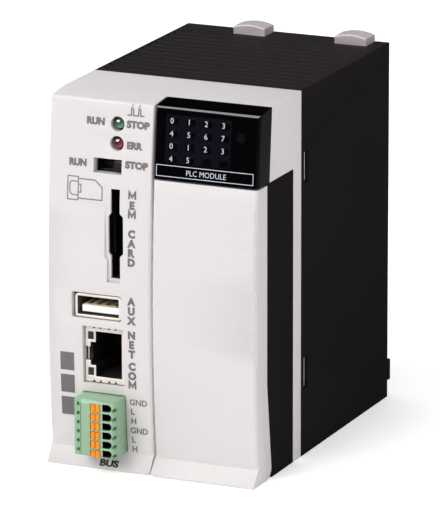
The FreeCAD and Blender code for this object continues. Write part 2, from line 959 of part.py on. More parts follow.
def usb_contacts(doc, s):
    """Four gilt strips on the tongue."""
    piece = Piece(doc, s, "usb_contacts")
    strip = piece.pad("XZ", -s.usb_contact_front, -s.usb_contact_back,
                      box(s.usb_contact_left, s.usb_contact_left + s.usb_contact_width,
                          s.tongue_high, s.tongue_high + s.usb_contact_thickness))
    piece.repeat(strip, "X", s.usb_contact_pitch, s.usb_contact_count)
    return piece


def network_mouth(s):
    """Stepped opening of the network socket: plug bay, latch notch and key groove."""
    return [
        (s.net_bay_left, s.net_bay_low), (s.net_bay_right, s.net_bay_low),
        (s.net_bay_right, s.net_bay_high), (s.net_bay_left, s.net_bay_high),
        (s.net_bay_left, s.net_notch_high), (s.net_notch_left, s.net_notch_high),
        (s.net_notch_left, s.net_notch_low), (s.net_bay_left, s.net_notch_low),
    ]


def network_lamp_windows(s):
    """Outlines of the two indicator windows beside the latch notch."""
    return [box(s.net_lamp_left, s.net_lamp_right, low, low + s.net_lamp_height)
            for low in (s.net_lamp_low, s.net_lamp_high)]


def network_shield(doc, s):
    """Folded metal shield of the network socket."""
    piece = Piece(doc, s, "network_shield")
    skin = s.net_skin
    piece.pad("XZ", -s.net_front, -s.net_back, box(s.net_left, s.net_right, s.net_low, s.net_high))
    piece.cut("XZ", -s.net_front + skin, -s.net_back + s.slack,
              box(s.net_left + skin, s.net_right - skin, s.net_low + skin, s.net_high - skin))
    piece.cut("XZ", -s.net_front - s.slack, -s.net_front + s.slack, network_mouth(s),
              *network_lamp_windows(s))
    piece.cut("XZ", -s.net_front - s.slack, -s.net_front + s.net_key_depth,
              box(s.net_left - s.slack, s.net_notch_left + skin, s.net_key_low, s.net_key_high))
    return piece


def network_insert(doc, s):
    """Moulded insulator inside the network socket."""
    piece = Piece(doc, s, "network_insert")
    skin = s.net_skin
    piece.pad("XZ", -s.net_front + skin, -s.net_back,
              box(s.net_left + skin, s.net_right - skin, s.net_low + skin, s.net_high - skin))
    piece.cut("XZ", -s.net_front, -s.net_bay_back, network_mouth(s))
    piece.cut("XZ", -s.net_front, -s.net_lamp_back, *network_lamp_windows(s))
    piece.cut("XZ", -s.net_front, -s.net_front + s.net_key_depth,
              box(s.net_left, s.net_notch_left + skin, s.net_key_low, s.net_key_high))
    return piece


def network_contacts(doc, s):
    """Eight spring wires that slope into the plug bay."""
    piece = Piece(doc, s, "network_contacts")
    wall = s.net_bay_right
    thickness = s.net_contact_thickness
    wire = piece.pad("XY", s.net_contact_low, s.net_contact_low + s.net_contact_width, [
        (wall, -s.net_contact_front), (wall, -s.net_contact_front + thickness),
        (wall - s.net_contact_rise, -s.net_contact_back),
        (wall - s.net_contact_rise - thickness, -s.net_contact_back),
    ])
    piece.repeat(wire, "Z", s.net_contact_pitch, s.net_contact_count)
    return piece


def network_lamps(doc, s):
    """Two light pipes in the corners of the network socket."""
    piece = Piece(doc, s, "network_lamps")
    piece.pad("XZ", -s.net_front + s.net_skin / 2, -s.net_lamp_back, *network_lamp_windows(s))
    return piece


# ---- the display window ---------------------------------------------------------------------------

def led_window(doc, s):
    """Smoked display window that forms the upper right corner of the front."""
    piece = Piece(doc, s, "led_window")
    piece.pad("YZ", s.window_left, s.case_width, [
        (-s.brow_back_low, s.window_low),
        (-s.brow_back_high, slope_height(s, s.brow_back_high)),
        (-s.brow_front, s.brow_top, s.brow_radius),
        (front_at(s, s.brow_height), s.brow_height, s.bulge_radius),
        (front_at(s, s.window_low), s.window_low),
    ])
    piece.round_edges(s.window_edge, lambda middle, edge: bowed(edge)
                      and (near(middle.x, s.window_left.value)
                           or near(middle.x, s.case_width.value)))
    skin = s.window_wall
    low = s.window_low + skin
    piece.cut("YZ", s.window_left + skin, s.case_width - skin, [
        (-s.roof_front, low), (-s.roof_front, s.window_roof),
        (front_at(s, s.window_roof, skin), s.window_roof, s.bulge_radius - skin),
        (front_at(s, low, skin), low),
    ])
    return piece


def pixel_row(s, width, height, count):
    """One row of rectangles centred on the display's light cells."""
    row = []
    for column in range(count):
        middle = s.pixel_left + s.pixel_pitch * column + s.pixel_width / 2
        centre = s.pixel_low + s.pixel_height / 2
        row.append(box(middle - width / 2, middle + width / 2, centre - height / 2,
                       centre + height / 2))
    return row


def window_light_guide(doc, s):
    """Perforated mask that keeps each channel's light in its own cell."""
    piece = Piece(doc, s, "window_light_guide")
    piece.pad("XZ", -s.guide_front, -s.guide_back,
              box(s.guide_left, s.guide_right, s.guide_low, s.guide_high))
    columns = int(s.pixel_columns.value)
    row = piece.cut("XZ", -s.guide_front - s.slack, -s.guide_back + s.slack,
                    *pixel_row(s, s.pixel_width, s.pixel_height, columns))
    piece.repeat(row, "Z", s.pixel_rise, s.pixel_rows)
    return piece


def display_board(doc, s):
    """Small circuit board that carries the channel emitters."""
    piece = Piece(doc, s, "display_board")
    piece.pad("XZ", -s.display_front, -s.display_back,
              box(s.display_left, s.display_right, s.display_low, s.display_high))
    return piece


def channel_emitters(doc, s):
    """One light emitter behind each cell of the mask."""
    piece = Piece(doc, s, "channel_emitters")
    columns = int(s.pixel_columns.value)
    row = piece.pad("XZ", -s.display_front - s.emitter_thickness, -s.display_front,
                    *pixel_row(s, s.emitter_length, s.emitter_height, columns))
    piece.repeat(row, "Z", s.pixel_rise, s.pixel_rows)
    return piece


# ---- the terminal door and what it covers ---------------------------------------------------------

def terminal_door(doc, s):
    """Bowed door that covers the terminal bay and turns down on two ears."""
    piece = Piece(doc, s, "terminal_door")
    ear = s.ear_radius
    piece.pad("YZ", s.door_left, s.case_width, [
        (-s.hinge_back, s.hinge_height - ear, ear),
        (-s.hinge_back + ear, s.hinge_height),
        (-s.door_back, s.door_sweep_height),
        (-s.door_back, s.door_high),
        (front_at(s, s.door_high), s.door_high, s.bulge_radius),
        (front_at(s, s.door_lip_height), s.door_lip_height),
        (-s.door_lip_reach, s.lip_edge), (-s.door_lip_reach, 0),
    ])
    front = -s.brow_front.value
    piece.round_edges(s.door_edge, lambda middle, edge: middle.y < front
                      and near(middle.x, s.case_width.value) and bowed(edge))
    piece.round_edges(s.soft_edge, lambda middle, edge: middle.y < front
                      and near(middle.x, s.door_left.value) and bowed(edge))
    piece.round_edges(s.door_corner, lambda middle, edge: middle.y < front
                      and near(middle.x, s.door_left.value) and near(middle.z, 0))
    skin = s.door_wall
    left = s.door_left + skin
    right = s.case_width - skin
    low = s.door_lip_height
    high = s.door_high - skin
    open_back = -s.bay_floor
    piece.cut("YZ", left, right, [
        (open_back, -s.slack), (open_back, high),
        (front_at(s, high, skin), high, s.bulge_radius - skin),
        (front_at(s, low, skin), low),
        (-s.door_floor_back, s.lip_edge), (-s.door_floor_back, -s.slack),
    ])
    pin = Circle(-s.hinge_back, s.hinge_height, s.pin_radius)
    piece.cut("YZ", left - s.pin_depth, left + s.slack, pin)
    piece.cut("YZ", right - s.slack, right + s.pin_depth, pin)
    return piece


def door_hinge_pins(doc, s):
    """Two short pins fixed in the door's ears that turn in the bay's brackets."""
    piece = Piece(doc, s, "door_hinge_pins")
    pin = Circle(-s.hinge_back, s.hinge_height, s.pin_radius)
    length = s.bracket_gap + s.bracket_width
    left = s.door_left + s.door_wall
    right = s.case_width - s.door_wall
    piece.pad("YZ", left - s.pin_depth, left + length, pin)
    piece.pad("YZ", right - length, right + s.pin_depth, pin)
    return piece


def door_label(doc, s):
    """Wiring label stuck inside the door, bent to the door's bow."""
    piece = Piece(doc, s, "door_label")
    outer = s.door_wall
    inner = s.door_wall + s.label_thickness
    side = s.door_wall + s.label_inset
    piece.pad("YZ", s.door_left + side, s.case_width - side, [
        (front_at(s, s.label_low, inner), s.label_low, -(s.bulge_radius - inner)),
        (front_at(s, s.label_high, inner), s.label_high),
        (front_at(s, s.label_high, outer), s.label_high, s.bulge_radius - outer),
        (front_at(s, s.label_low, outer), s.label_low),
    ])
    return piece


def terminal_bay(doc, s):
    """Dark tray that holds the terminal block and carries the door's hinge brackets."""
    piece = Piece(doc, s, "terminal_bay")
    ear_back = s.hinge_back - s.ear_radius - s.bay_gap
    rim_front = s.door_back - s.bay_gap
    piece.pad("YZ", s.bay_left, s.case_width, [
        (-s.rim_depth, 0), (-s.rim_depth, s.bay_high), (-rim_front, s.bay_high),
        (-rim_front, s.door_sweep_height), (-ear_back, s.hinge_height), (-ear_back, 0),
    ])
    skin = s.bay_wall
    piece.cut("XZ", -s.front_reach, -s.bay_floor,
              box(s.bay_left + skin, s.case_width - skin, skin, s.bay_high - skin))
    piece.pad("XZ", -s.rim_depth - skin, -s.bay_boss_back,
              box(s.bay_boss_left, s.bay_boss_right, s.bay_boss_low, s.bay_boss_high))
    piece.cut("XZ", -s.bay_floor - s.slack, 0,
              box(s.bay_window_left, s.bay_window_right, s.bay_window_low, s.bay_window_high))
    hinge_brackets(piece, s)
    return piece


def hinge_brackets(piece, s):
    """Two arms at the bottom of the bay with bores for the door's pins."""
    radius = s.bracket_radius
    arm = [
        (-s.bay_floor + s.slack, s.hinge_height - radius),
        (-s.bay_floor + s.slack, s.hinge_height + radius),
        (-s.hinge_back, s.hinge_height + radius, radius),
        (-s.hinge_back - radius, s.hinge_height, radius),
        (-s.hinge_back, s.hinge_height - radius),
    ]
    left = s.door_left + s.door_wall + s.bracket_gap
    right = s.case_width - s.door_wall - s.bracket_gap
    piece.pad("YZ", left, left + s.bracket_width, arm)
    piece.pad("YZ", right - s.bracket_width, right, arm)
    bore = Circle(-s.hinge_back, s.hinge_height, s.pin_radius + s.pin_running_gap)
    piece.cut("YZ", left - s.bracket_gap / 2, right + s.bracket_gap / 2, bore)


def mirrored_columns(s, across):
    """The two places, mirrored about the block's middle, for something on the left column."""
    return (across, s.block_left + s.block_right - across)


def cell_columns(s, width, low, high):
    """Two rectangles of a width centred on the screw columns."""
    return [box(middle - width / 2, middle + width / 2, low, high)
            for middle in mirrored_columns(s, s.screw_across)]


def terminal_block(doc, s):
    """Two-column terminal block with a barrier round every screw cell."""
    piece = Piece(doc, s, "terminal_block")
    piece.pad("XZ", -s.block_front, -s.block_back,
              box(s.block_left, s.block_right, s.block_low, s.block_high))
    cell_high = s.cell_low + s.cell_pitch - s.cell_barrier
    floor = -s.block_front + s.cell_depth
    cells = piece.cut("XZ", -s.block_front - s.slack, floor,
                      *cell_columns(s, s.cell_inner - s.cell_outer, s.cell_low, cell_high))
    piece.repeat(cells, "Z", s.cell_pitch, s.cell_rows)
    centre = screw_height(s)
    columns = mirrored_columns(s, s.screw_across)
    shanks = piece.cut("XZ", floor - s.slack, -s.block_back - s.socket_depth - s.slack,
                       *[Circle(middle, centre, s.shank_hole_radius) for middle in columns])
    piece.repeat(shanks, "Z", s.cell_pitch, s.cell_rows)
    half = s.socket_side / 2
    sockets = piece.cut("XZ", -s.block_back - s.socket_depth, -s.block_back + s.slack,
                        *cell_columns(s, s.socket_side, centre - half, centre + half))
    piece.repeat(sockets, "Z", s.cell_pitch, s.cell_rows)
    middle = (s.block_left + s.block_right) / 2
    piece.cut("XZ", -s.block_front - s.slack, -s.block_front + s.fixing_length,
              Circle(middle, s.fixing_low, s.fixing_radius),
              Circle(middle, s.fixing_high, s.fixing_radius))
    return piece


def screw_height(s):
    """Height of the lowest screw row."""
    return s.cell_low + (s.cell_pitch - s.cell_barrier) / 2


def terminal_screws(doc, s):
    """Slotted clamping screws, one in each cell."""
    piece = Piece(doc, s, "terminal_screws")
    centre = screw_height(s)
    columns = mirrored_columns(s, s.screw_across)
    seat = -s.block_front + s.cell_depth - s.washer_thickness
    heads = piece.pad("XZ", seat - s.screw_head, seat,
                      *[Circle(middle, centre, s.screw_radius) for middle in columns])
    piece.repeat(heads, "Z", s.cell_pitch, s.cell_rows)
    shanks = piece.pad("XZ", seat - s.screw_head / 2, seat + s.screw_length,
                       *[Circle(middle, centre, s.screw_shank_radius) for middle in columns])
    piece.repeat(shanks, "Z", s.cell_pitch, s.cell_rows)
    half = s.screw_slot / 2
    top = seat - s.screw_head
    slots = piece.cut("XZ", top - s.slack, top + s.screw_slot_depth,
                      *cell_columns(s, s.screw_slot_length, centre - half, centre + half))
    piece.repeat(slots, "Z", s.cell_pitch, s.cell_rows)
    return piece


def terminal_washers(doc, s):
    """Square pressure plates under the clamping screws."""
    piece = Piece(doc, s, "terminal_washers")
    centre = screw_height(s)
    half = s.washer_side / 2
    seat = -s.block_front + s.cell_depth
    columns = mirrored_columns(s, s.screw_across)
    plates = piece.pad("XZ", seat - s.washer_thickness, seat,
                       *cell_columns(s, s.washer_side, centre - half, centre + half),
                       *[Circle(middle, centre, s.shank_hole_radius) for middle in columns])
    piece.repeat(plates, "Z", s.cell_pitch, s.cell_rows)
    return piece


def block_fixing_screws(doc, s):
    """Two screws that hold the removable terminal block in its bay."""
    piece = Piece(doc, s, "block_fixing_screws")
    middle = (s.block_left + s.block_right) / 2
    front = -s.block_front
    for height in (s.fixing_low, s.fixing_high):
        piece.pad("XZ", front, front + s.fixing_length, Circle(middle, height, s.fixing_radius))
        half = s.screw_slot / 2
        piece.cut("XZ", front - s.slack, front + s.screw_slot_depth,
                  box(middle - s.screw_radius, middle + s.screw_radius, height - half,
                      height + half))
    return piece


def terminal_header(doc, s):
    """Board-mounted connector that the terminal block plugs on to."""
    piece = Piece(doc, s, "terminal_header")
    piece.pad("XZ", -s.header_front, -s.header_back,
              box(s.header_left, s.header_right, s.header_low, s.header_high))
    return piece


def terminal_header_pins(doc, s):
    """Pins of the terminal connector, two columns of them."""
    piece = Piece(doc, s, "terminal_header_pins")
    centre = screw_height(s)
    half = s.pin_side / 2
    front = -s.block_back - s.socket_depth + s.pin_side / 2
    pins = piece.pad("XZ", front, -s.header_front,
                     *cell_columns(s, s.pin_side, centre - half, centre + half))
    piece.repeat(pins, "Z", s.cell_pitch, s.cell_rows)
    return piece


# ---- the pull-off terminal plug -------------------------------------------------------------------

def pole_box(s, left, right, height, drop=0):
    """Rectangle of a height centred on the plug's lowest pole, or a little below it."""
    return box(left, right, s.pole_low - drop - height / 2, s.pole_low - drop + height / 2)


def terminal_plug(doc, s):
    """Six-pole spring-clamp plug: probe strip, lever windows, wire funnels and a keyed nose."""
    piece = Piece(doc, s, "terminal_plug")
    bevel = s.plug_bevel
    piece.pad("XY", s.plug_low, s.plug_high, [
        (s.plug_left, -s.plug_back), (s.plug_left, -s.strip_front),
        (s.strip_right, -s.strip_front), (s.strip_right, -s.plug_front),
        (s.plug_right - bevel, -s.plug_front), (s.plug_right, -s.plug_front + bevel),
        (s.plug_right, -s.plug_back),
    ])
    taper = s.plug_taper
    for edge, inward in ((s.plug_high, -taper), (s.plug_low, taper)):
        piece.cut("YZ", s.plug_left - s.slack, s.plug_right + s.slack, [
            (-s.plug_front - s.slack, edge - inward), (-s.plug_front - s.slack, edge + inward),
            (-s.plug_front, edge + inward), (-s.plug_front + s.plug_taper_length, edge),
            (-s.plug_front + s.plug_taper_length, edge - inward),
        ])
    piece.pad("XZ", -s.plug_back - s.slack, -s.nose_back,
              box(s.nose_left, s.nose_right, s.nose_low, s.nose_high))
    front = -s.plug_front - s.slack
    piece.cut("XZ", front, -s.plug_line_floor,
              box(s.plug_line_left, s.plug_line_left + s.plug_line_width, s.plug_low - s.slack,
                  s.plug_high + s.slack))
    poles = (
        (front, -s.probe_floor, Circle(s.probe_across, s.pole_low, s.probe_radius)),
        (front, -s.lever_floor,
         pole_box(s, s.lever_left, s.lever_right, s.lever_height, s.lever_drop)),
        (front, -s.niche_floor,
         Circle(s.niche_across, s.pole_low - s.niche_drop, s.niche_radius)),
        (-s.pinhole_floor, -s.nose_back + s.slack,
         pole_box(s, s.pinhole_left, s.pinhole_left + s.pinhole_side, s.pinhole_side)),
    )
    for start, end, outline in poles:
        piece.repeat(piece.cut("XZ", start, end, outline), "Z", s.pole_pitch, s.pole_count)
    funnel = piece.cut("XZ", front, -s.wire_floor, wire_mouth(s))
    piece.repeat(funnel, "Z", s.pole_pitch, s.pole_count)
    return piece


def wire_mouth(s):
    """Wire entry: square towards the lever and half round on the far side."""
    half = s.wire_height / 2
    return [
        (s.wire_left, s.pole_low - half), (s.wire_right - half, s.pole_low - half, half),
        (s.wire_right, s.pole_low, half), (s.wire_right - half, s.pole_low + half),
        (s.wire_left, s.pole_low + half),
    ]


def plug_lever(doc, s, number):
    """Release lever of one pole, with a creased face."""
    piece = Piece(doc, s, "plug_lever_%d" % (number + 1))
    fit = s.lever_fit
    left = s.lever_left + fit
    right = s.lever_right - fit
    shoulder = -s.front_reach + s.lever_crease
    centre = s.pole_low - s.lever_drop + s.pole_pitch * number
    half = s.lever_height / 2 - fit
    piece.pad("XY", centre - half, centre + half, [
        (left, -s.lever_back), (left, shoulder), ((left + right) / 2, -s.front_reach),
        (right, shoulder), (right, -s.lever_back),
    ])
    return piece


def plug_clamps(doc, s):
    """Spring strips that grip the wires inside the plug."""
    piece = Piece(doc, s, "plug_clamps")
    strip = piece.pad("XZ", -s.clamp_front, -s.wire_floor,
                      pole_box(s, s.wire_left, s.wire_left + s.clamp_thickness,
                               s.wire_height - s.clamp_thickness))
    piece.repeat(strip, "Z", s.pole_pitch, s.pole_count)
    return piece


def plug_header(doc, s):
    """Board-mounted shroud that the plug's nose slides into."""
    piece = Piece(doc, s, "plug_header")
    piece.pad("XZ", -s.socket_front, -s.socket_back,
              box(s.socket_left, s.socket_right, s.socket_low, s.socket_high))
    fit = s.socket_fit
    piece.cut("XZ", -s.socket_front - s.slack, -s.socket_floor,
              box(s.nose_left - fit, s.nose_right + fit, s.nose_low - fit, s.nose_high + fit))
    return piece


def plug_header_pins(doc, s):
    """Six posts inside the plug's shroud."""
    piece = Piece(doc, s, "plug_header_pins")
    middle = s.pinhole_left + s.pinhole_side / 2
    half = s.post_side / 2
    post = piece.pad("XZ", -s.post_front, -s.socket_floor,
                     pole_box(s, middle - half, middle + half, s.post_side))
    piece.repeat(post, "Z", s.pole_pitch, s.pole_count)
    return piece


# ---- the rear housing and its rack locks ----------------------------------------------------------

def groove_outline(s, face, depth):
    """Tapered groove between two cooling ribs, cut into a face by a signed depth."""
    top = s.groove_top / 2
    floor = s.groove_floor / 2
    return [
        (s.rib_first - top, face - depth), (s.rib_first + top, face - depth),
        (s.rib_first + top, face), (s.rib_first + floor, face + depth),
        (s.rib_first - floor, face + depth), (s.rib_first - top, face),
    ]


def lock_lefts(s):
    """Left edges of the two rack locks."""
    return (s.lock_left, s.lock_left + s.lock_pitch)


def lock_openings(piece, s):
    """Roof openings, latch slots and spring shelves for the two rack locks."""
    fit = s.well_fit
    gap = s.stem_fit
    for left in lock_lefts(s):
        right = left + s.lock_width
        piece.cut("XY", s.well_floor, s.case_height + s.slack,
                  box(left - fit, right + fit, s.lock_front - fit, s.lock_back + fit))
        piece.cut("XZ", s.case_depth - s.wall - s.slack, s.case_depth + s.slack,
                  box(left + s.latch_inset - gap, right - s.latch_inset + gap,
                      s.latch_low - s.lock_travel - gap, s.latch_high + gap))
        piece.pad("XY", s.shelf_low, s.shelf_high,
                  box(left + s.stem_inset, right - s.stem_inset, s.shelf_front,
                      s.case_depth - s.wall / 2))


def rack_hooks(piece, s):
    """Two fixed claws low on the rear face that hang the module on the rack."""
    back = s.case_depth
    claw = [
        (back - s.wall / 2, s.hook_inner), (back + s.hook_reach - s.hook_claw, s.hook_inner),
        (back + s.hook_reach - s.hook_claw, s.hook_low), (back + s.hook_reach, s.hook_low),
        (back + s.hook_reach, s.hook_high), (back - s.wall / 2, s.hook_high),
    ]
    for left in (s.hook_inset, s.case_width - s.hook_inset - s.hook_width):
        piece.pad("YZ", left, left + s.hook_width, claw)


def rear_housing(doc, s):
    """Dark rear shell with ribbed roof and base, snap slots, lock wells and rack hooks."""
    piece = Piece(doc, s, "rear_housing")
    piece.pad("XZ", 0, s.case_depth, box(0, s.case_width, 0, s.case_height))
    depth = s.case_depth.value
    piece.round_edges(s.rear_edge, lambda middle, edge: near(middle.y, depth))
    piece.cut("XZ", -s.slack, s.case_depth - s.wall,
              box(s.wall, s.case_width - s.wall, s.base_thickness,
                  s.case_height - s.roof_thickness))
    for face, cut_depth in ((s.case_height, -s.groove_depth), (as_size(0), s.groove_depth)):
        groove = piece.cut("YZ", s.groove_end, s.case_width - s.groove_end,
                           groove_outline(s, face, cut_depth))
        piece.repeat(groove, "Y", s.rib_pitch, s.rib_count)
    piece.cut("YZ", -s.slack, s.case_width + s.slack,
              box(s.snap_front, s.snap_back, s.snap_high_low, s.snap_high_top),
              box(s.snap_front, s.snap_back, s.snap_low_low, s.snap_low_top))
    piece.cut("XZ", s.case_depth - s.wall - s.slack, s.case_depth + s.slack,
              box(s.bus_opening_left, s.bus_opening_right, s.bus_opening_low,
                  s.bus_opening_high))
    lock_openings(piece, s)
    rack_hooks(piece, s)
    return piece


def lock_button(doc, s, label, left):
    """Press-down rack lock: arched cap, stem and the latch behind the rear face."""
    piece = Piece(doc, s, label)
    right = left + s.lock_width
    piece.pad("XZ", s.lock_front, s.lock_back, [
        (left, s.lock_cap_low), (right, s.lock_cap_low),
        (right, s.lock_shoulder, s.lock_crown_radius), (left, s.lock_shoulder),
    ])
    shoulder = s.lock_shoulder.value
    piece.round_edges(s.lock_edge, lambda middle, edge: middle.z > shoulder - TOUCH
                      and (near(middle.y, s.lock_front.value) or near(middle.y, s.lock_back.value)))
    piece.pad("XY", s.stem_low, s.lock_cap_low + s.lock_edge,
              box(left + s.stem_inset, right - s.stem_inset, s.stem_front, s.stem_back))
    reach = s.case_depth + s.hook_reach
    nose = s.latch_nose
    piece.pad("YZ", left + s.latch_inset, right - s.latch_inset, [
        (s.stem_back - nose, s.latch_low), (reach - nose, s.latch_low),
        (reach, s.latch_low + nose), (reach, s.latch_high - s.latch_slope),
        (s.stem_back - nose, s.latch_high),
    ])
    return piece


def lock_spring(doc, s, label, left):
    """Coil spring between the housing's shelf and the lock's stem."""
    wire = s.coil_wire.value
    height = s.stem_low.value - s.shelf_high.value - 2 * wire
    helix = Part.makeHelix(height / s.coil_turns.value, height, s.coil_radius.value)
    section = Part.Wire([Part.makeCircle(wire, Vector(s.coil_radius.value, 0, 0), Vector(0, 1, 0))])
    coil = Part.Wire(helix.Edges).makePipeShell([section], True, True)
    spring = doc.addObject("Part::Feature", label)
    spring.Label = label
    spring.Shape = coil
    seam = (s.front_reach.value - s.case_depth.value - s.hook_reach.value) / 2
    across = left.value + s.lock_width.value / 2 - s.case_width.value / 2
    back = (s.stem_front.value + s.stem_back.value) / 2 + seam
    spring.Placement = Placement(Vector(across, back, s.shelf_high.value + wire), Rotation())
    return spring


# ---- boards and what they carry -------------------------------------------------------------------

def cpu_board(doc, s):
    """Upright circuit board behind the ports."""
    piece = Piece(doc, s, "cpu_board")
    piece.pad("YZ", s.cpu_left, s.cpu_left + s.board_thickness,
              box(-s.cpu_front, s.board_back, s.cpu_low, s.cpu_high))
    return piece


def io_board(doc, s):
    """Upright circuit board behind the terminal bay."""
    piece = Piece(doc, s, "io_board")
    piece.pad("YZ", s.io_left, s.io_left + s.board_thickness,
              box(s.io_front, s.board_back, s.io_low, s.io_high))
    return piece


def board_connector(doc, s):
    """Stacking connector between the two boards."""
    piece = Piece(doc, s, "board_connector")
    piece.pad("YZ", s.cpu_left + s.board_thickness, s.io_left,
              box(s.link_front, s.link_back, s.link_low, s.link_high))
    return piece


def processor_chip(doc, s):
    """Main processor package."""
    piece = Piece(doc, s, "processor_chip")
    face = s.cpu_left + s.board_thickness
    piece.pad("YZ", face, face + s.chip_height,
              box(s.chip_front, s.chip_front + s.chip_side, s.chip_low,
                  s.chip_low + s.chip_side))
    return piece


def board_chips(doc, s):
    """Memory and interface packages on both boards."""
    piece = Piece(doc, s, "board_chips")
    outline = box(s.chip_front, s.chip_front + s.small_chip_depth, s.small_chip_low,
                  s.small_chip_low + s.small_chip_side)
    for face in (s.cpu_left + s.board_thickness, s.io_left + s.board_thickness):
        chip = piece.pad("YZ", face, face + s.chip_height, outline)
        count = s.small_chip_count if face.value > s.io_left.value else s.small_chip_count - 1
        piece.repeat(chip, "Z", s.small_chip_pitch, count)
    return piece


def network_transformer(doc, s):
    """Isolation transformer package behind the network socket."""
    piece = Piece(doc, s, "network_transformer")
    piece.pad("YZ", s.magnetics_left, s.cpu_left,
              box(-s.magnetics_front, s.magnetics_back, s.magnetics_low, s.magnetics_high))
    return piece


def board_capacitors(doc, s):
    """Can capacitors on the board behind the terminals."""
    piece = Piece(doc, s, "board_capacitors")
    can = piece.pad("YZ", s.io_left - s.can_height, s.io_left,
                    Circle(s.can_back, s.can_low, s.can_radius))
    piece.repeat(can, "Z", s.can_pitch, s.can_count)
    return piece


def battery_holder(doc, s):
    """Holder for the clock battery on the upright board."""
    piece = Piece(doc, s, "battery_holder")
    half = s.holder_side / 2
    outer = s.cpu_left - s.holder_thickness
    piece.pad("YZ", outer, s.cpu_left,
              box(s.battery_across - half, s.battery_across + half, s.battery_height - half,
                  s.battery_height + half))
    piece.cut("YZ", outer - s.slack, outer + s.battery_thickness + s.holder_gap,
              Circle(s.battery_across, s.battery_height, s.battery_radius + s.holder_gap))
    return piece


def clock_battery(doc, s):
    """Coin cell that keeps the clock running."""
    piece = Piece(doc, s, "clock_battery")
    outer = s.cpu_left - s.holder_thickness
    piece.pad("YZ", outer + s.holder_gap, outer + s.holder_gap + s.battery_thickness,
              Circle(s.battery_across, s.battery_height, s.battery_radius))
    return piece


def bus_connector(doc, s):
    """Rack bus connector in the rear face."""
    piece = Piece(doc, s, "bus_connector")
    piece.pad("XZ", s.bus_front, s.bus_back, box(s.bus_left, s.bus_right, s.bus_low, s.bus_high))
    piece.cut("XZ", s.bus_slot_floor, s.bus_back + s.slack,
              box(s.bus_slot_left, s.bus_slot_right, s.bus_slot_low, s.bus_slot_high))
    return piece


def bus_contacts(doc, s):
    """Two rows of contacts inside the bus connector."""
    piece = Piece(doc, s, "bus_contacts")
    thin = s.bus_contact_thickness
    low = s.bus_contact_low
    high = low + s.bus_contact_width
    pair = piece.pad("XZ", s.bus_slot_floor, s.bus_contact_back,
                     box(s.bus_slot_left, s.bus_slot_left + thin, low, high),
                     box(s.bus_slot_right - thin, s.bus_slot_right, low, high))
    piece.repeat(pair, "Z", s.bus_contact_pitch, s.bus_contact_count)
    return piece


# ---- assembly -------------------------------------------------------------------------------------

SINGLE_PIECES = (
    rear_housing, front_cover, terminal_bay, led_window, window_light_guide, display_board,
    channel_emitters, terminal_door, door_hinge_pins, door_label, terminal_block, terminal_screws,
    terminal_washers, block_fixing_screws, terminal_header, terminal_header_pins,
    mode_switch_body, mode_switch_slider, card_socket, card_contacts, usb_shell, usb_tongue,
    usb_contacts, network_shield, network_insert, network_contacts, network_lamps, terminal_plug,
    plug_clamps, plug_header, plug_header_pins, cpu_board, io_board, board_connector,
    processor_chip, board_chips, network_transformer, board_capacitors, battery_holder,
    clock_battery, bus_connector, bus_contacts,
)


def build(doc, sizes):
    """Makes every sub-part and returns the objects whose shapes are written."""
    made = [make(doc, sizes).body for make in SINGLE_PIECES]
    made.append(lamp(doc, sizes, "run_lamp", sizes.lamp_run_height).body)
    made.append(lamp(doc, sizes, "fault_lamp", sizes.lamp_fault_height).body)
    for number in range(int(sizes.pole_count.value)):
        made.append(plug_lever(doc, sizes, number).body)
    for side, left in zip(("left", "right"), lock_lefts(sizes)):
        made.append(lock_button(doc, sizes, "lock_button_%s" % side, left).body)
        made.append(lock_spring(doc, sizes, "lock_spring_%s" % side, left))
    return made


def check_feature(item):
    """Stops the build if a feature failed, or took nothing away where it should."""
    if "Invalid" in item.State or "Error" in item.State:
        raise RuntimeError("%s failed: %s" % (item.Name, item.State))
    if item.TypeId in ("PartDesign::Pocket", "PartDesign::Fillet"):
        if item.Shape.Volume >= item.BaseFeature.Shape.Volume:
            raise RuntimeError("%s takes nothing away" % item.Name)


def check(doc, made):
    """Stops the build if any feature failed or any sub-part is not a valid solid."""
    for item in doc.Objects:
        check_feature(item)
    for item in made:
        shape = item.Shape
        if shape.isNull() or not shape.isValid() or not shape.Solids:
            raise RuntimeError("%s has no valid solid" % item.Label)


def write(made):
    """Writes one STEP file for each sub-part."""
    os.makedirs("parts", exist_ok=True)
    for item in made:
        item.Shape.exportStep("parts/%s.step" % item.Label)


def main():
    doc = FreeCAD.newDocument("rack_controller")
    sizes = Sheet(doc)
    doc.recompute()
    made = build(doc, sizes)
    doc.recompute()
    check(doc, made)
    write(made)
    print("%d sub-parts written" % len(made))


main()
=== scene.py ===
"""Looks of a two-slot programmable controller module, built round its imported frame.

Places on the case are in millimetres: to the right of its left wall, behind the seam between
its front and rear shells (what stands in front is negative), and above its base. Case.at
turns them into points of the frame.
"""

import json
import logging
import math
from collections.abc import Callable, Iterable, Sequence
from dataclasses import dataclass, field
from enum import Enum

import bmesh
import bpy
from mathutils import Matrix, Vector
from mathutils.bvhtree import BVHTree

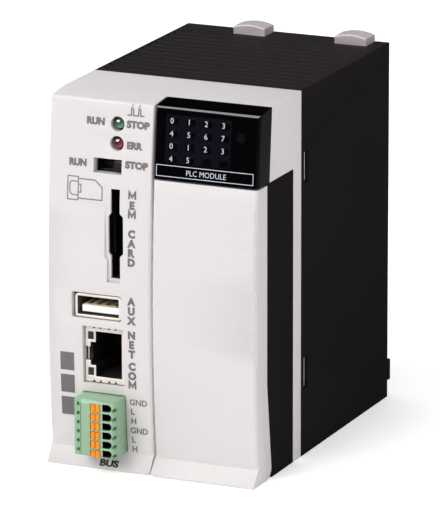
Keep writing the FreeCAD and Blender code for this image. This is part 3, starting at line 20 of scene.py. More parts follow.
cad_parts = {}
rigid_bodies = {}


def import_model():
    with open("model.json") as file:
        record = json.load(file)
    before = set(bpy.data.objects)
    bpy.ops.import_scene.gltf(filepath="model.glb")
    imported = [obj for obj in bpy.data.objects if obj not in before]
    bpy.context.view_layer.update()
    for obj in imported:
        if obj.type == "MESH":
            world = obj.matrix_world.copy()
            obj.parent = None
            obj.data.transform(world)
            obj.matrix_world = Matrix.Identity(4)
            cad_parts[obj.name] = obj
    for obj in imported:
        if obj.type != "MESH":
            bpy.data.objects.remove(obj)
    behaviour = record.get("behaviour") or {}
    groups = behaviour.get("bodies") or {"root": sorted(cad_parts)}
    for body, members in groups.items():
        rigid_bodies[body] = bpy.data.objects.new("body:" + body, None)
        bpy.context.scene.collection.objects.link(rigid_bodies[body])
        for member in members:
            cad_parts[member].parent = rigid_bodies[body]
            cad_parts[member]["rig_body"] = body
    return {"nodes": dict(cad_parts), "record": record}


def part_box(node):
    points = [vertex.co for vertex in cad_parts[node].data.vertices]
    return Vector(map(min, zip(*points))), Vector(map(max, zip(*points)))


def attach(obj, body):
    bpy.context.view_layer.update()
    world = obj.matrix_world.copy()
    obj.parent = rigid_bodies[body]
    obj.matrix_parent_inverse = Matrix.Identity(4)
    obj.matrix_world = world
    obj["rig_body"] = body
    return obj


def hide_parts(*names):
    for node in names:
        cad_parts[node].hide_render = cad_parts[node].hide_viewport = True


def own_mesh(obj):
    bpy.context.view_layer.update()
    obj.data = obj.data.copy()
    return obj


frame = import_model()        # bodies, nodes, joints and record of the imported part

LOG = logging.getLogger("controller")
MM = 0.001
WELD = 0.000001
FLAT_ANGLE = math.radians(0.05)
SHARP_ANGLE = math.radians(35.0)
RIGHT, BACK, UP = Vector((1, 0, 0)), Vector((0, 1, 0)), Vector((0, 0, 1))

Point = tuple[float, float]
Colour = tuple[int, int, int]


# ---- places ---------------------------------------------------------------------------------

class Case:
    """Turns places on the case into points of the frame."""

    def __init__(self) -> None:
        """Reads the corner that places are measured from."""
        low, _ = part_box("rear_housing")
        self.corner = low

    def at(self, right: float, behind: float, above: float) -> Vector:
        """Gives the point of a place.

        Args:
            right: Millimetres to the right of the left wall.
            behind: Millimetres behind the seam.
            above: Millimetres above the base.

        Returns:
            The point, in metres.
        """
        return self.corner + Vector((right, behind, above)) * MM


CASE = Case()


def slot_of(node: str) -> str:
    """Gives the record's material slot of a CAD node."""
    return next(part["material_slot"] for part in frame["record"]["subparts"] if part["node"] == node)


def body_of(node: str) -> str:
    """Gives the body that a CAD node rides on."""
    return frame["nodes"][node]["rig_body"]


# ---- node trees -----------------------------------------------------------------------------

class TreeKind(Enum):
    """What a node tree makes."""

    SHAPE = "GeometryNodeTree"
    SHADE = "ShaderNodeTree"


class NodeNet:
    """A node tree that is put together a node at a time."""

    def __init__(self, tree: bpy.types.NodeTree) -> None:
        """Takes the tree that nodes are added to.

        Args:
            tree: The tree.
        """
        self.tree = tree
        self.door_in: bpy.types.Node | None = None
        self.door_out: bpy.types.Node | None = None

    @classmethod
    def group(cls, name: str, kind: TreeKind) -> "NodeNet":
        """Starts a new group.

        Args:
            name: The group's name.
            kind: Whether it makes a shape or a shade.

        Returns:
            The net of the new group.
        """
        net = cls(bpy.data.node_groups.new(name, kind.value))
        net.door_in = net.tree.nodes.new("NodeGroupInput")
        net.door_out = net.tree.nodes.new("NodeGroupOutput")
        return net

    def entry(self, name: str, kind: str, default: object = None) -> bpy.types.NodeSocket:
        """Adds a named input.

        Args:
            name: The input's name.
            kind: Its socket type, without the common prefix.
            default: Its value where none is given.

        Returns:
            The socket that carries the input inside the group.
        """
        socket = self.tree.interface.new_socket(name, in_out="INPUT", socket_type="NodeSocket" + kind)
        if default is not None:
            socket.default_value = default
        return self.door_in.outputs[name]

    def leave(self, name: str, kind: str, value: bpy.types.NodeSocket) -> None:
        """Adds a named output and feeds it."""
        self.tree.interface.new_socket(name, in_out="OUTPUT", socket_type="NodeSocket" + kind)
        self.tree.links.new(value, self.door_out.inputs[name])

    def add(self, kind: str, feeds: dict[str | int, object] | None = None,
            **settings: object) -> bpy.types.Node:
        """Adds a node.

        Args:
            kind: The node's type.
            feeds: For each input, a socket to link or a plain value.
            settings: The node's own settings.

        Returns:
            The node.
        """
        node = self.tree.nodes.new(kind)
        for name, value in settings.items():
            setattr(node, name, value)
        self.feed(node, feeds or {})
        return node

    def feed(self, node: bpy.types.Node, feeds: dict[str | int, object]) -> None:
        """Links or sets inputs of a node.

        Args:
            node: The node.
            feeds: For each input, a socket to link or a plain value.
        """
        for key, value in feeds.items():
            if isinstance(value, bpy.types.NodeSocket):
                self.tree.links.new(value, node.inputs[key])
            else:
                node.inputs[key].default_value = value

    def math(self, operation: str, *values: object) -> bpy.types.NodeSocket:
        """Adds a sum on numbers and gives its result."""
        return self.add("ShaderNodeMath", dict(enumerate(values)), operation=operation).outputs[0]

    def vector(self, operation: str, *values: object) -> bpy.types.NodeSocket:
        """Adds a sum on vectors and gives its result."""
        return self.add("ShaderNodeVectorMath", dict(enumerate(values)), operation=operation).outputs[0]

    def scaled(self, value: object, factor: object) -> bpy.types.NodeSocket:
        """Adds a vector times a number and gives its result."""
        return self.add("ShaderNodeVectorMath", {0: value, "Scale": factor}, operation="SCALE").outputs[0]


def finish_shape(net: NodeNet, geometry: bpy.types.NodeSocket, finish: bpy.types.NodeSocket) -> None:
    """Ends a shape tree: its copies become real mesh and take the finish.

    Args:
        net: The net of the tree.
        geometry: What the tree has made.
        finish: The material it takes.
    """
    real = net.add("GeometryNodeRealizeInstances", {0: geometry}).outputs[0]
    dressed = net.add("GeometryNodeSetMaterial", {"Geometry": real, "Material": finish}).outputs[0]
    net.leave("Geometry", "Geometry", dressed)


def copies_tree() -> bpy.types.NodeTree:
    """Builds the tree that sets copies of one piece out in columns and rows.

    Returns:
        The tree.
    """
    net = NodeNet.group("copies_in_rows", TreeKind.SHAPE)
    copy = net.entry("Copy", "Object")
    columns = net.entry("Columns", "Int", 1)
    rows = net.entry("Rows", "Int", 1)
    start = net.entry("Start", "Vector")
    across = net.entry("Across", "Vector")
    along = net.entry("Along", "Vector")
    axis = net.entry("Turn Axis", "Vector")
    spread = net.entry("Turn Spread", "Float", 0.0)
    seed = net.entry("Seed", "Int", 1)
    finish = net.entry("Finish", "Material")
    index = net.add("GeometryNodeInputIndex").outputs[0]
    column = net.math("FLOORED_MODULO", index, columns)
    row = net.math("FLOOR", net.math("DIVIDE", index, columns))
    steps = net.vector("ADD", net.scaled(across, column), net.scaled(along, row))
    points = net.add("GeometryNodePoints", {
        "Count": net.math("MULTIPLY", columns, rows), "Position": net.vector("ADD", start, steps)})
    low = net.math("MULTIPLY", spread, -1.0)
    turn = net.add("FunctionNodeRandomValue", {2: low, 3: spread, "Seed": seed}, data_type="FLOAT")
    placed = net.add("GeometryNodeInstanceOnPoints", {
        "Points": points.outputs[0],
        "Instance": net.add("GeometryNodeObjectInfo", {"Object": copy}).outputs["Geometry"],
        "Rotation": net.scaled(axis, turn.outputs[1])})
    finish_shape(net, placed.outputs[0], finish)
    return net.tree


def coil_tree() -> bpy.types.NodeTree:
    """Builds the tree of a coil spring whose axis is upright.

    Returns:
        The tree.
    """
    net = NodeNet.group("coil_spring", TreeKind.SHAPE)
    start = net.entry("Start", "Vector")
    turns = net.entry("Turns", "Float", 6.0)
    radius = net.entry("Coil Radius", "Float", 0.0015)
    wire = net.entry("Wire Radius", "Float", 0.0003)
    height = net.entry("Height", "Float", 0.006)
    steps = net.entry("Steps A Turn", "Int", 24)
    finish = net.entry("Finish", "Material")
    spiral = net.add("GeometryNodeCurveSpiral", {
        "Resolution": steps, "Rotations": turns, "Start Radius": radius, "End Radius": radius,
        "Height": height})
    section = net.add("GeometryNodeCurvePrimitiveCircle", {"Resolution": 8, "Radius": wire})
    tube = net.add("GeometryNodeCurveToMesh", {
        "Curve": spiral.outputs[0], "Profile Curve": section.outputs[0], "Fill Caps": True})
    smooth = net.add("GeometryNodeSetShadeSmooth", {0: tube.outputs[0]})
    placed = net.add("GeometryNodeTransform", {"Geometry": smooth.outputs[0], "Translation": start})
    finish_shape(net, placed.outputs[0], finish)
    return net.tree


SHAPES = {"copies": copies_tree(), "coil": coil_tree()}


def grown(name: str, shape: str, values: dict[str, object]) -> bpy.types.Mesh:
    """Runs a shape tree once and keeps what it makes as a plain mesh.

    Args:
        name: The mesh's name.
        shape: Which of the shape trees.
        values: A value for each of the tree's named inputs.

    Returns:
        The mesh.
    """
    holder = bpy.data.objects.new(name + "_maker", bpy.data.meshes.new(name + "_seed"))
    bpy.context.scene.collection.objects.link(holder)
    maker = holder.modifiers.new("maker", "NODES")
    maker.node_group = SHAPES[shape]
    for item in maker.node_group.interface.items_tree:
        if item.in_out == "INPUT" and item.name in values:
            maker[item.identifier] = values[item.name]
    mesh = plain(holder, name)
    holder.modifiers.remove(maker)
    bpy.data.objects.remove(holder)
    return mesh


def plain(thing: bpy.types.Object, name: str) -> bpy.types.Mesh:
    """Gives the mesh of an object as its modifiers leave it.

    Args:
        thing: The object.
        name: The mesh's name.

    Returns:
        A mesh of its own, with no modifiers.
    """
    bpy.context.view_layer.update()
    graph = bpy.context.evaluated_depsgraph_get()
    mesh = bpy.data.meshes.new_from_object(
        thing.evaluated_get(graph), preserve_all_data_layers=True, depsgraph=graph)
    mesh.name = name
    return mesh


# ---- shader groups --------------------------------------------------------------------------

def moulded_grain() -> bpy.types.NodeTree:
    """Builds the fine spark-eroded grain of a mould, with a slow drift of its tone.

    Returns:
        The tree.
    """
    net = NodeNet.group("moulded_grain", TreeKind.SHADE)
    density = net.entry("Density", "Float", 3000.0)
    place = net.add("ShaderNodeTexCoord").outputs["Object"]
    fine = net.add("ShaderNodeTexNoise", {"Vector": place, "Scale": density, "Detail": 2.0})
    drift = net.add("ShaderNodeTexNoise", {"Vector": place, "Scale": 45.0, "Detail": 4.0})
    net.leave("Height", "Float", fine.outputs[0])
    net.leave("Drift", "Float", drift.outputs[0])
    return net.tree


def edge_wear() -> bpy.types.NodeTree:
    """Builds the mask of edges that hands have rubbed, broken up along their length; the edges it
    lightens also stand in for a painted highlight.

    Returns:
        The tree.
    """
    net = NodeNet.group("edge_wear", TreeKind.SHADE)
    reach = net.entry("Reach", "Float", 0.0003)
    soft = net.add("ShaderNodeBevel", {"Radius": reach}, samples=4).outputs[0]
    hard = net.add("ShaderNodeNewGeometry").outputs["Normal"]
    match = net.add("ShaderNodeVectorMath", {0: soft, 1: hard}, operation="DOT_PRODUCT").outputs[1]
    edge = net.add("ShaderNodeMapRange", {0: match, 1: 1.0, 2: 0.85, 3: 0.0, 4: 1.0}).outputs[0]
    place = net.add("ShaderNodeTexCoord").outputs["Object"]
    breaks = net.add("ShaderNodeTexNoise", {"Vector": place, "Scale": 500.0, "Detail": 3.0})
    net.leave("Mask", "Float", net.math("MULTIPLY", edge, breaks.outputs[0]))
    return net.tree


def drawn_streaks() -> bpy.types.NodeTree:
    """Builds the long fine streaks that rolling and stamping leave on sheet metal.

    Returns:
        The tree.
    """
    net = NodeNet.group("drawn_streaks", TreeKind.SHADE)
    density = net.entry("Density", "Float", 4000.0)
    place = net.add("ShaderNodeTexCoord").outputs["Object"]
    long_way = net.add("ShaderNodeMapping", {"Vector": place, "Scale": (1.0, 0.06, 1.0)}).outputs[0]
    streak = net.add("ShaderNodeTexNoise", {"Vector": long_way, "Scale": density, "Detail": 3.0})
    cloud = net.add("ShaderNodeTexNoise", {"Vector": place, "Scale": 260.0, "Detail": 4.0})
    net.leave("Streak", "Float", streak.outputs[0])
    net.leave("Cloud", "Float", cloud.outputs[0])
    return net.tree


GROUPS = {"grain": moulded_grain(), "wear": edge_wear(), "streaks": drawn_streaks()}


# ---- finishes -------------------------------------------------------------------------------

def linear(colour: Colour, factor: float = 1.0) -> tuple[float, float, float, float]:
    """Turns an 8-bit screen colour into a shader colour, lightened or darkened by a factor."""
    parts = [((c / 255 + 0.055) / 1.055) ** 2.4 if c > 10 else c / 255 / 12.92 for c in colour]
    return (*(min(p * factor, 1.0) for p in parts), 1.0)


@dataclass(frozen=True)
class Finish:
    """What every finish has: a name, a colour and a roughness."""

    name: str
    colour: Colour
    roughness: float = 0.5

    def material(self) -> bpy.types.Material:
        """Gives the finish as a material, made the first time it is asked for.

        Returns:
            The material.
        """
        known = bpy.data.materials.get(self.name)
        if known is not None:
            return known
        made = bpy.data.materials.new(self.name)
        made.use_nodes = True
        self.paint(NodeNet(made.node_tree), made.node_tree.nodes["Principled BSDF"])
        return made

    def paint(self, net: NodeNet, shader: bpy.types.Node) -> None:
        """Sets up the shader; each kind of finish has its own way."""
        raise NotImplementedError

    def group(self, net: NodeNet, name: str, feeds: dict[str, object]) -> bpy.types.Node:
        """Places a shared shader group in the material."""
        return net.add("ShaderNodeGroup", feeds, node_tree=GROUPS[name])

    def two_tone(self, net: NodeNet, mask: object, low: object, high: object) -> bpy.types.NodeSocket:
        """Mixes two colours by a mask and gives the result."""
        return net.add("ShaderNodeMix", {0: mask, 6: low, 7: high}, data_type="RGBA").outputs[2]

    def between(self, net: NodeNet, value: object, low: float, high: float) -> bpy.types.NodeSocket:
        """Spreads a value from 0 to 1 over a range and gives the result."""
        return net.add("ShaderNodeMapRange", {0: value, 3: low, 4: high}).outputs[0]

    def bump(self, net: NodeNet, height: bpy.types.NodeSocket, relief: float) -> bpy.types.NodeSocket:
        """Bends the surface's normal by a height of so many millimetres and gives the result."""
        return net.add("ShaderNodeBump", {"Height": height, "Distance": relief * MM}).outputs[0]


@dataclass(frozen=True)
class Moulding(Finish):
    """A moulded plastic: sheen, spark-eroded grain, and edges lightened as rubbed wear and as painted
    highlight.
    """

    specular: float = 0.5
    density: float = 2600.0
    relief: float = 0.006
    drift: float = 0.03
    wear: float = 1.12
    coat: float = 0.0
    depth: float = 0.0
    spread: float = 0.06

    def paint(self, net: NodeNet, shader: bpy.types.Node) -> None:
        """Sets up grain, drift of tone, and edges lightened as wear and as painted highlight.

        Args:
            net: The net of the material.
            shader: The shader that takes the results.
        """
        grain = self.group(net, "grain", {"Density": self.density})
        wear = self.group(net, "wear", {})
        drift = grain.outputs["Drift"]
        body = self.two_tone(net, drift, linear(self.colour, 1.0 - self.drift),
                             linear(self.colour, 1.0 + self.drift))
        # Edges lightened by the edge mask: partly rubbed wear, partly a painted highlight along the edge.
        net.feed(shader, {
            "Base Color": self.two_tone(net, wear.outputs["Mask"], body, linear(self.colour, self.wear)),
            "Roughness": self.between(net, drift, self.roughness - self.spread,
                                      self.roughness + self.spread),
            "Normal": self.bump(net, grain.outputs["Height"], self.relief),
            "Specular IOR Level": self.specular, "Coat Weight": self.coat, "Coat Roughness": 0.08,
            "Subsurface Weight": self.depth, "Subsurface Scale": 0.8 * MM,
            "Subsurface Radius": (1.0, 0.9, 0.85)})


@dataclass(frozen=True)
class Sheen(Finish):
    """A polished plastic: clean gloss with faint handling marks, and light through it if tinted."""

    specular: float = 0.5
    transmission: float = 0.0
    coat: float = 0.0

    def paint(self, net: NodeNet, shader: bpy.types.Node) -> None:
        """Sets up gloss that a slow cloud of marks breaks up.

        Args:
            net: The net of the material.
            shader: The shader that takes the results.
        """
        drift = self.group(net, "grain", {"Density": 700.0}).outputs["Drift"]
        net.feed(shader, {
            "Base Color": self.two_tone(net, drift, linear(self.colour, 0.94), linear(self.colour, 1.06)),
            "Roughness": self.between(net, drift, self.roughness * 0.7, self.roughness * 1.5),
            "Specular IOR Level": self.specular, "Transmission Weight": self.transmission,
            "Coat Weight": self.coat})


@dataclass(frozen=True)
class Dome(Finish):
    """A tinted lens with painted light: painted darker where it looks up, a painted glow where it looks
    down.
    """

    glow: Colour = (200, 200, 200)
    gather: tuple[float, float, float] = (0.5, -0.45, -0.74)

    def paint(self, net: NodeNet, shader: bpy.types.Node) -> None:
        """Sets up the tint with painted shade and a painted glow by the way the lens faces, with a faint
        cloud in it.

        Args:
            net: The net of the material.
            shader: The shader that takes the results.
        """
        # Painted light: the tint is mixed toward the glow colour on faces turned toward the glow
        # direction.
        facing = net.add("ShaderNodeNewGeometry").outputs["Normal"]
        share = net.add("ShaderNodeVectorMath", {0: facing, 1: self.gather},
                        operation="DOT_PRODUCT").outputs[1]
        painted_lit = net.add("ShaderNodeMapRange", {0: share, 1: 0.1, 2: 0.95}).outputs[0]
        cloud = self.group(net, "grain", {"Density": 900.0}).outputs["Drift"]
        net.feed(shader, {
            "Base Color": self.two_tone(net, painted_lit, linear(self.colour), linear(self.glow)),
            "Roughness": self.between(net, cloud, self.roughness * 0.6, self.roughness * 1.5),
            "Specular IOR Level": 0.8, "Coat Weight": 1.0, "Coat Roughness": 0.14,
            "Subsurface Weight": 0.3, "Subsurface Scale": 0.6 * MM})


@dataclass(frozen=True)
class Metal(Finish):
    """A plated or drawn metal: streaks, clouds of tarnish, and edges brightened as wear and as painted
    highlight.
    """

    density: float = 3500.0
    tarnish: float = 0.82
    relief: float = 0.004
    bare: float = 1.0

    def paint(self, net: NodeNet, shader: bpy.types.Node) -> None:
        """Sets up streaks, tarnish and edges.

        Args:
            net: The net of the material.
            shader: The shader that takes the results.
        """
        streaks = self.group(net, "streaks", {"Density": self.density})
        wear = self.group(net, "wear", {"Reach": 0.0002})
        streak = streaks.outputs["Streak"]
        body = self.two_tone(net, streaks.outputs["Cloud"], linear(self.colour, self.tarnish),
                             linear(self.colour))
        # Edges brightened by the edge mask: partly rubbed wear, partly a painted highlight along the
        # edge.
        net.feed(shader, {
            "Base Color": self.two_tone(net, wear.outputs["Mask"], body, linear(self.colour, 1.15)),
            "Roughness": self.between(net, streak, self.roughness * 0.6, self.roughness * 1.4),
            "Normal": self.bump(net, streak, self.relief), "Metallic": self.bare})


@dataclass(frozen=True)
class Circuit(Finish):
    """A circuit board: solder resist over copper tracks and tinned pads."""

    track: Colour = (30, 96, 58)
    pad: Colour = (200, 190, 160)

    def paint(self, net: NodeNet, shader: bpy.types.Node) -> None:
        """Sets up tracks as a brick pattern and pads as small cells.

        Args:
            net: The net of the material.
            shader: The shader that takes the results.
        """
        place = net.add("ShaderNodeTexCoord").outputs["Object"]
        turned = net.add("ShaderNodeMapping", {"Vector": place, "Rotation": (0.0, math.pi / 2, 0.0)})
        tracks = net.add("ShaderNodeTexBrick", {
            "Vector": turned.outputs[0], "Color1": (0, 0, 0, 1), "Color2": (0.3, 0.3, 0.3, 1),
            "Mortar": (1, 1, 1, 1), "Scale": 320.0, "Mortar Size": 0.03, "Brick Width": 2.3}).outputs[0]
        cells = net.add("ShaderNodeTexVoronoi", {"Vector": turned.outputs[0], "Scale": 420.0})
        dots = net.math("LESS_THAN", cells.outputs["Distance"], 0.16)
        resist = self.two_tone(net, tracks, linear(self.colour), linear(self.track))
        net.feed(shader, {
            "Base Color": self.two_tone(net, dots, resist, linear(self.pad)),
            "Roughness": self.between(net, cells.outputs["Distance"], self.roughness * 0.8,
                                      self.roughness * 1.3),
            "Normal": self.bump(net, tracks, 0.03)})


@dataclass(frozen=True)
class Ink(Finish):
    """A printed ink: its colour thins out a little where the pad laid it unevenly."""

    thin: Colour = (140, 134, 136)

    def paint(self, net: NodeNet, shader: bpy.types.Node) -> None:
        """Sets up the uneven film.

        Args:
            net: The net of the material.
            shader: The shader that takes the results.
        """
        grain = self.group(net, "grain", {"Density": 5200.0})
        film = self.between(net, grain.outputs["Height"], -0.35, 0.45)
        net.feed(shader, {
            "Base Color": self.two_tone(net, film, linear(self.colour), linear(self.thin)),
            "Roughness": self.between(net, grain.outputs["Drift"], self.roughness - 0.1,
                                      self.roughness + 0.1),
            "Normal": self.bump(net, grain.outputs["Height"], 0.002)})


SLOT_FINISHES: dict[str, Finish] = {
    "light_case": Moulding("light_moulding", (199, 195, 195), 0.5, specular=0.22, drift=0.01, wear=1.05,
                           depth=0.3),
    "dark_case": Moulding("dark_moulding", (28, 25, 26), 0.58, specular=0.035, drift=0.08, wear=1.3),
    "dark_insert": Moulding("dark_insert_moulding", (20, 18, 19), 0.45, specular=0.4, wear=1.5),
    "smoked_window": Sheen("smoked_lens", (3, 3, 4), 0.06, specular=0.2, coat=0.4),
    "white_insert": Moulding("white_insulator", (236, 236, 238), 0.35, wear=1.0),
    "switch_nub": Moulding("slider_moulding", (28, 25, 26), 0.4, wear=1.6),
    "plug_green": Moulding("plug_moulding", (136, 168, 138), 0.42, drift=0.03, wear=1.12),
    "lever_orange": Moulding("lever_moulding", (232, 138, 26), 0.33, drift=0.05, wear=1.15, coat=0.4),
    "lock_grey": Moulding("lock_moulding", (172, 163, 164), 0.45, drift=0.03, wear=1.15),
    "circuit_board": Circuit("circuit_board_resist", (18, 70, 40), 0.35),
    "emitter": Sheen("emitter_resin", (236, 228, 190), 0.15),
    "green_lamp": Dome("green_lens", (12, 44, 30), 0.05, glow=(92, 142, 108)),
    "red_lamp": Dome("red_lens", (48, 3, 12), 0.05, glow=(146, 44, 62)),
    "amber_lamp": Sheen("light_pipe_lens", (70, 64, 58), 0.12, transmission=0.3),
    "pin_steel": Metal("pin_steel_drawn", (200, 200, 202), 0.28),
    "plated_screw": Metal("screw_zinc", (214, 212, 202), 0.3),
    "tinned_metal": Metal("tinned_sheet", (240, 231, 223), 0.34, bare=0.27, tarnish=0.93),
    "gilt_contact": Metal("gilt_strip", (232, 186, 92), 0.3, bare=0.6),
    "capacitor_can": Metal("capacitor_sleeve", (206, 206, 210), 0.3),
    "battery_steel": Metal("battery_nickel", (214, 212, 206), 0.25),
    "label_paper": Ink("label_film", (232, 231, 226), 0.55, thin=(222, 220, 214)),
}
LEGEND_INK = Ink("legend_ink", (100, 93, 95), 0.6, thin=(118, 111, 113))
FINE_INK = Ink("fine_legend_ink", (106, 100, 102), 0.6, thin=(128, 121, 123))
DARK_INK = Ink("dark_legend_ink", (26, 23, 24), 0.55, thin=(44, 40, 41))
WHITE_INK = Ink("window_ink", (180, 182, 198), 0.45, thin=(154, 156, 174))
# Darker tin for the serial shell's inside faces: painted shade.
TIN_PAINTED_SHADE = Metal("tinned_sheet_inside", (92, 82, 76), 0.4, bare=0.5, tarnish=0.7)
# Pale skirt behind each lamp dome: painted light standing in for light caught in the ring round the lens.
LAMP_SKIRT_PAINTED_LIGHT = Sheen("lamp_base_resin", (196, 188, 182), 0.2)
# Warm grey lines standing in for the shade in moulded grooves: painted shade.
GROOVE_PAINTED_SHADE = Ink("groove_shade", (196, 188, 186), 0.6, thin=(206, 200, 198))
MASK_FILM = Sheen("mask_film", (13, 12, 20), 0.07, coat=1.0)
CELL_FILM = Sheen("cell_film", (3, 3, 3), 0.06, coat=1.0)
SHADOW_GAP = Moulding("shadow_gap", (14, 12, 12), 0.6, specular=0.2)


# ---- pieces ---------------------------------------------------------------------------------

def add_piece(name: str, mesh: bpy.types.Mesh, body: str, finish: Finish,
              replaces: Sequence[str] = ()) -> bpy.types.Object:
    """Adds a finished mesh to the object.

    Args:
        name: The piece's name.
        mesh: Its mesh, in place in the frame.
        body: The body it rides on.
        finish: What it is dressed in.
        replaces: The CAD nodes it stands for.

    Returns:
        The new object.
    """
    piece = bpy.data.objects.new(name, mesh)
    bpy.context.scene.collection.objects.link(piece)
    mesh.materials.clear()
    mesh.materials.append(finish.material())
    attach(piece, body)
    if replaces:
        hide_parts(*replaces)
    LOG.info("%s: %d faces on %s", name, len(mesh.polygons), body)
    return piece


def welded(node: str) -> bmesh.types.BMesh:
    """Gives a copy of a CAD node's mesh with its triangles joined and its flat faces whole.

    Args:
        node: The node.

    Returns:
        The copy, to be freed by whoever asked for it.
    """
    work = bmesh.new()
    work.from_mesh(frame["nodes"][node].data)
    bmesh.ops.remove_doubles(work, verts=work.verts, dist=WELD)
    bmesh.ops.dissolve_limit(work, angle_limit=FLAT_ANGLE, verts=work.verts, edges=work.edges)
    return work


def as_mesh(work: bmesh.types.BMesh, name: str) -> bpy.types.Mesh:
    """Turns a work mesh into a kept one and frees it.

    Args:
        work: The work mesh.
        name: The kept mesh's name.

    Returns:
        The kept mesh, shaded smooth.
    """
    mesh = bpy.data.meshes.new(name)
    work.to_mesh(mesh)
    work.free()
    mesh.shade_smooth()
    return mesh


def softened(mesh: bpy.types.Mesh, width: float, segments: int = 2) -> bpy.types.Mesh:
    """Breaks the sharp edges of a mesh.

    Args:
        mesh: The mesh to soften.
        width: Millimetres taken off each edge; nothing is taken off at 0.
        segments: How many faces round the edge off.

    Returns:
        The mesh with its edges broken, and shaded smooth between sharp edges.
    """
    if width <= 0:
        mesh.set_sharp_from_angle(angle=SHARP_ANGLE)
        return mesh
    holder = bpy.data.objects.new(mesh.name + "_maker", mesh)
    bpy.context.scene.collection.objects.link(holder)
    bevel = holder.modifiers.new("edges", "BEVEL")
    bevel.width = width * MM
    bevel.segments = segments
    bevel.limit_method = "ANGLE"
    bevel.angle_limit = SHARP_ANGLE
    bevel.harden_normals = True
    result = plain(holder, mesh.name)
    bpy.data.objects.remove(holder)
    return result


def skin(node: str, width: float, segments: int = 2, finish: Finish | None = None) -> bpy.types.Object:
    """Replaces a CAD node by a softened copy of itself.

    Args:
        node: The node.
        width: Millimetres taken off each edge.
        segments: How many faces round an edge off.
        finish: What it is dressed in; its slot's own finish where none is given.

    Returns:
        The copy.
    """
    slot = slot_of(node)
    mesh = softened(as_mesh(welded(node), node + "_soft"), width, segments)
    return add_piece(node + "_skin", mesh, body_of(node), finish or SLOT_FINISHES[slot], [node])


def skins(*widths: tuple[str, float]) -> None:
    """Replaces CAD nodes by softened copies, each with the width taken off its edges."""
    for node, width in widths:
        skin(node, width)


def part_finish(piece: bpy.types.Object, finish: Finish,
                chosen: Callable[[bpy.types.MeshPolygon], bool]) -> None:
    """Gives the chosen faces of a piece a finish of their own.

    Args:
        piece: The piece.
        finish: The finish.
        chosen: Says whether a face takes it.
    """
    piece.data.materials.append(finish.material())
    for face in piece.data.polygons:
        if chosen(face):
            face.material_index = 1


def band(work: bmesh.types.BMesh, one: Sequence[bmesh.types.BMVert],
         two: Sequence[bmesh.types.BMVert]) -> None:
    """Closes the strip between two rings of as many points.

    Args:
        work: The work mesh.
        one: The first ring.
        two: The second ring.
    """
    for i in range(len(one)):
        after = (i + 1) % len(one)
        work.faces.new((one[i], one[after], two[after], two[i]))


def prism(outline: Sequence[Vector], depth: Vector, name: str) -> bpy.types.Mesh:
    """Draws an outline out along a direction into a closed solid.

    Args:
        outline: Points in order round the outline.
        depth: From the outline to its far side.
        name: The mesh's name.

    Returns:
        The solid, with its faces pointing outwards.
    """
    work = bmesh.new()
    near = [work.verts.new(point) for point in outline]
    far = [work.verts.new(point + depth) for point in outline]
    work.faces.new(near)
    work.faces.new(list(reversed(far)))
    band(work, near, far)
    bmesh.ops.recalc_face_normals(work, faces=work.faces)
    return as_mesh(work, name)


def block(size: Vector, edge: float, name: str) -> bpy.types.Mesh:
    """Makes a block about the origin with softened edges.

    Args:
        size: Its sides, in metres.
        edge: Millimetres taken off each edge.
        name: The mesh's name.

    Returns:
        The block.
    """
    half = size / 2
    outline = [Vector((x * half.x, -half.y, z * half.z)) for x, z in ((-1, -1), (1, -1), (1, 1), (-1, 1))]
    return softened(prism(outline, BACK * size.y, name), edge)


def copies(name: str, mesh: bpy.types.Mesh, start: Vector, across: tuple[int, Vector],
           along: tuple[int, Vector], finish: Finish, spread: float = 0.0) -> bpy.types.Mesh:
    """Sets copies of a mesh out in columns and rows.

    Args:
        name: The result's name.
        mesh: What is copied, about the origin.
        start: Where the first copy goes.
        across: How many columns, and the step from one to the next.
        along: How many rows, and the step from one to the next.
        finish: What the copies are dressed in.
        spread: The most that a copy turns about the case's depth, either way, in radians.

    Returns:
        All the copies as one mesh.
    """
    pattern = bpy.data.objects.new(name + "_pattern", mesh)
    bpy.context.scene.collection.objects.link(pattern)
    result = grown(name, "copies", {
        "Copy": pattern, "Columns": across[0], "Rows": along[0], "Start": start,
        "Across": across[1], "Along": along[1], "Turn Axis": BACK, "Turn Spread": spread,
        "Seed": 7, "Finish": finish.material()})
    bpy.data.objects.remove(pattern)
    return result


# ---- printing -------------------------------------------------------------------------------

class Anchor(Enum):
    """Which part of a word stands at its place, as a share of its width."""

    LEFT = 0.0
    MIDDLE = 0.5
    RIGHT = 1.0


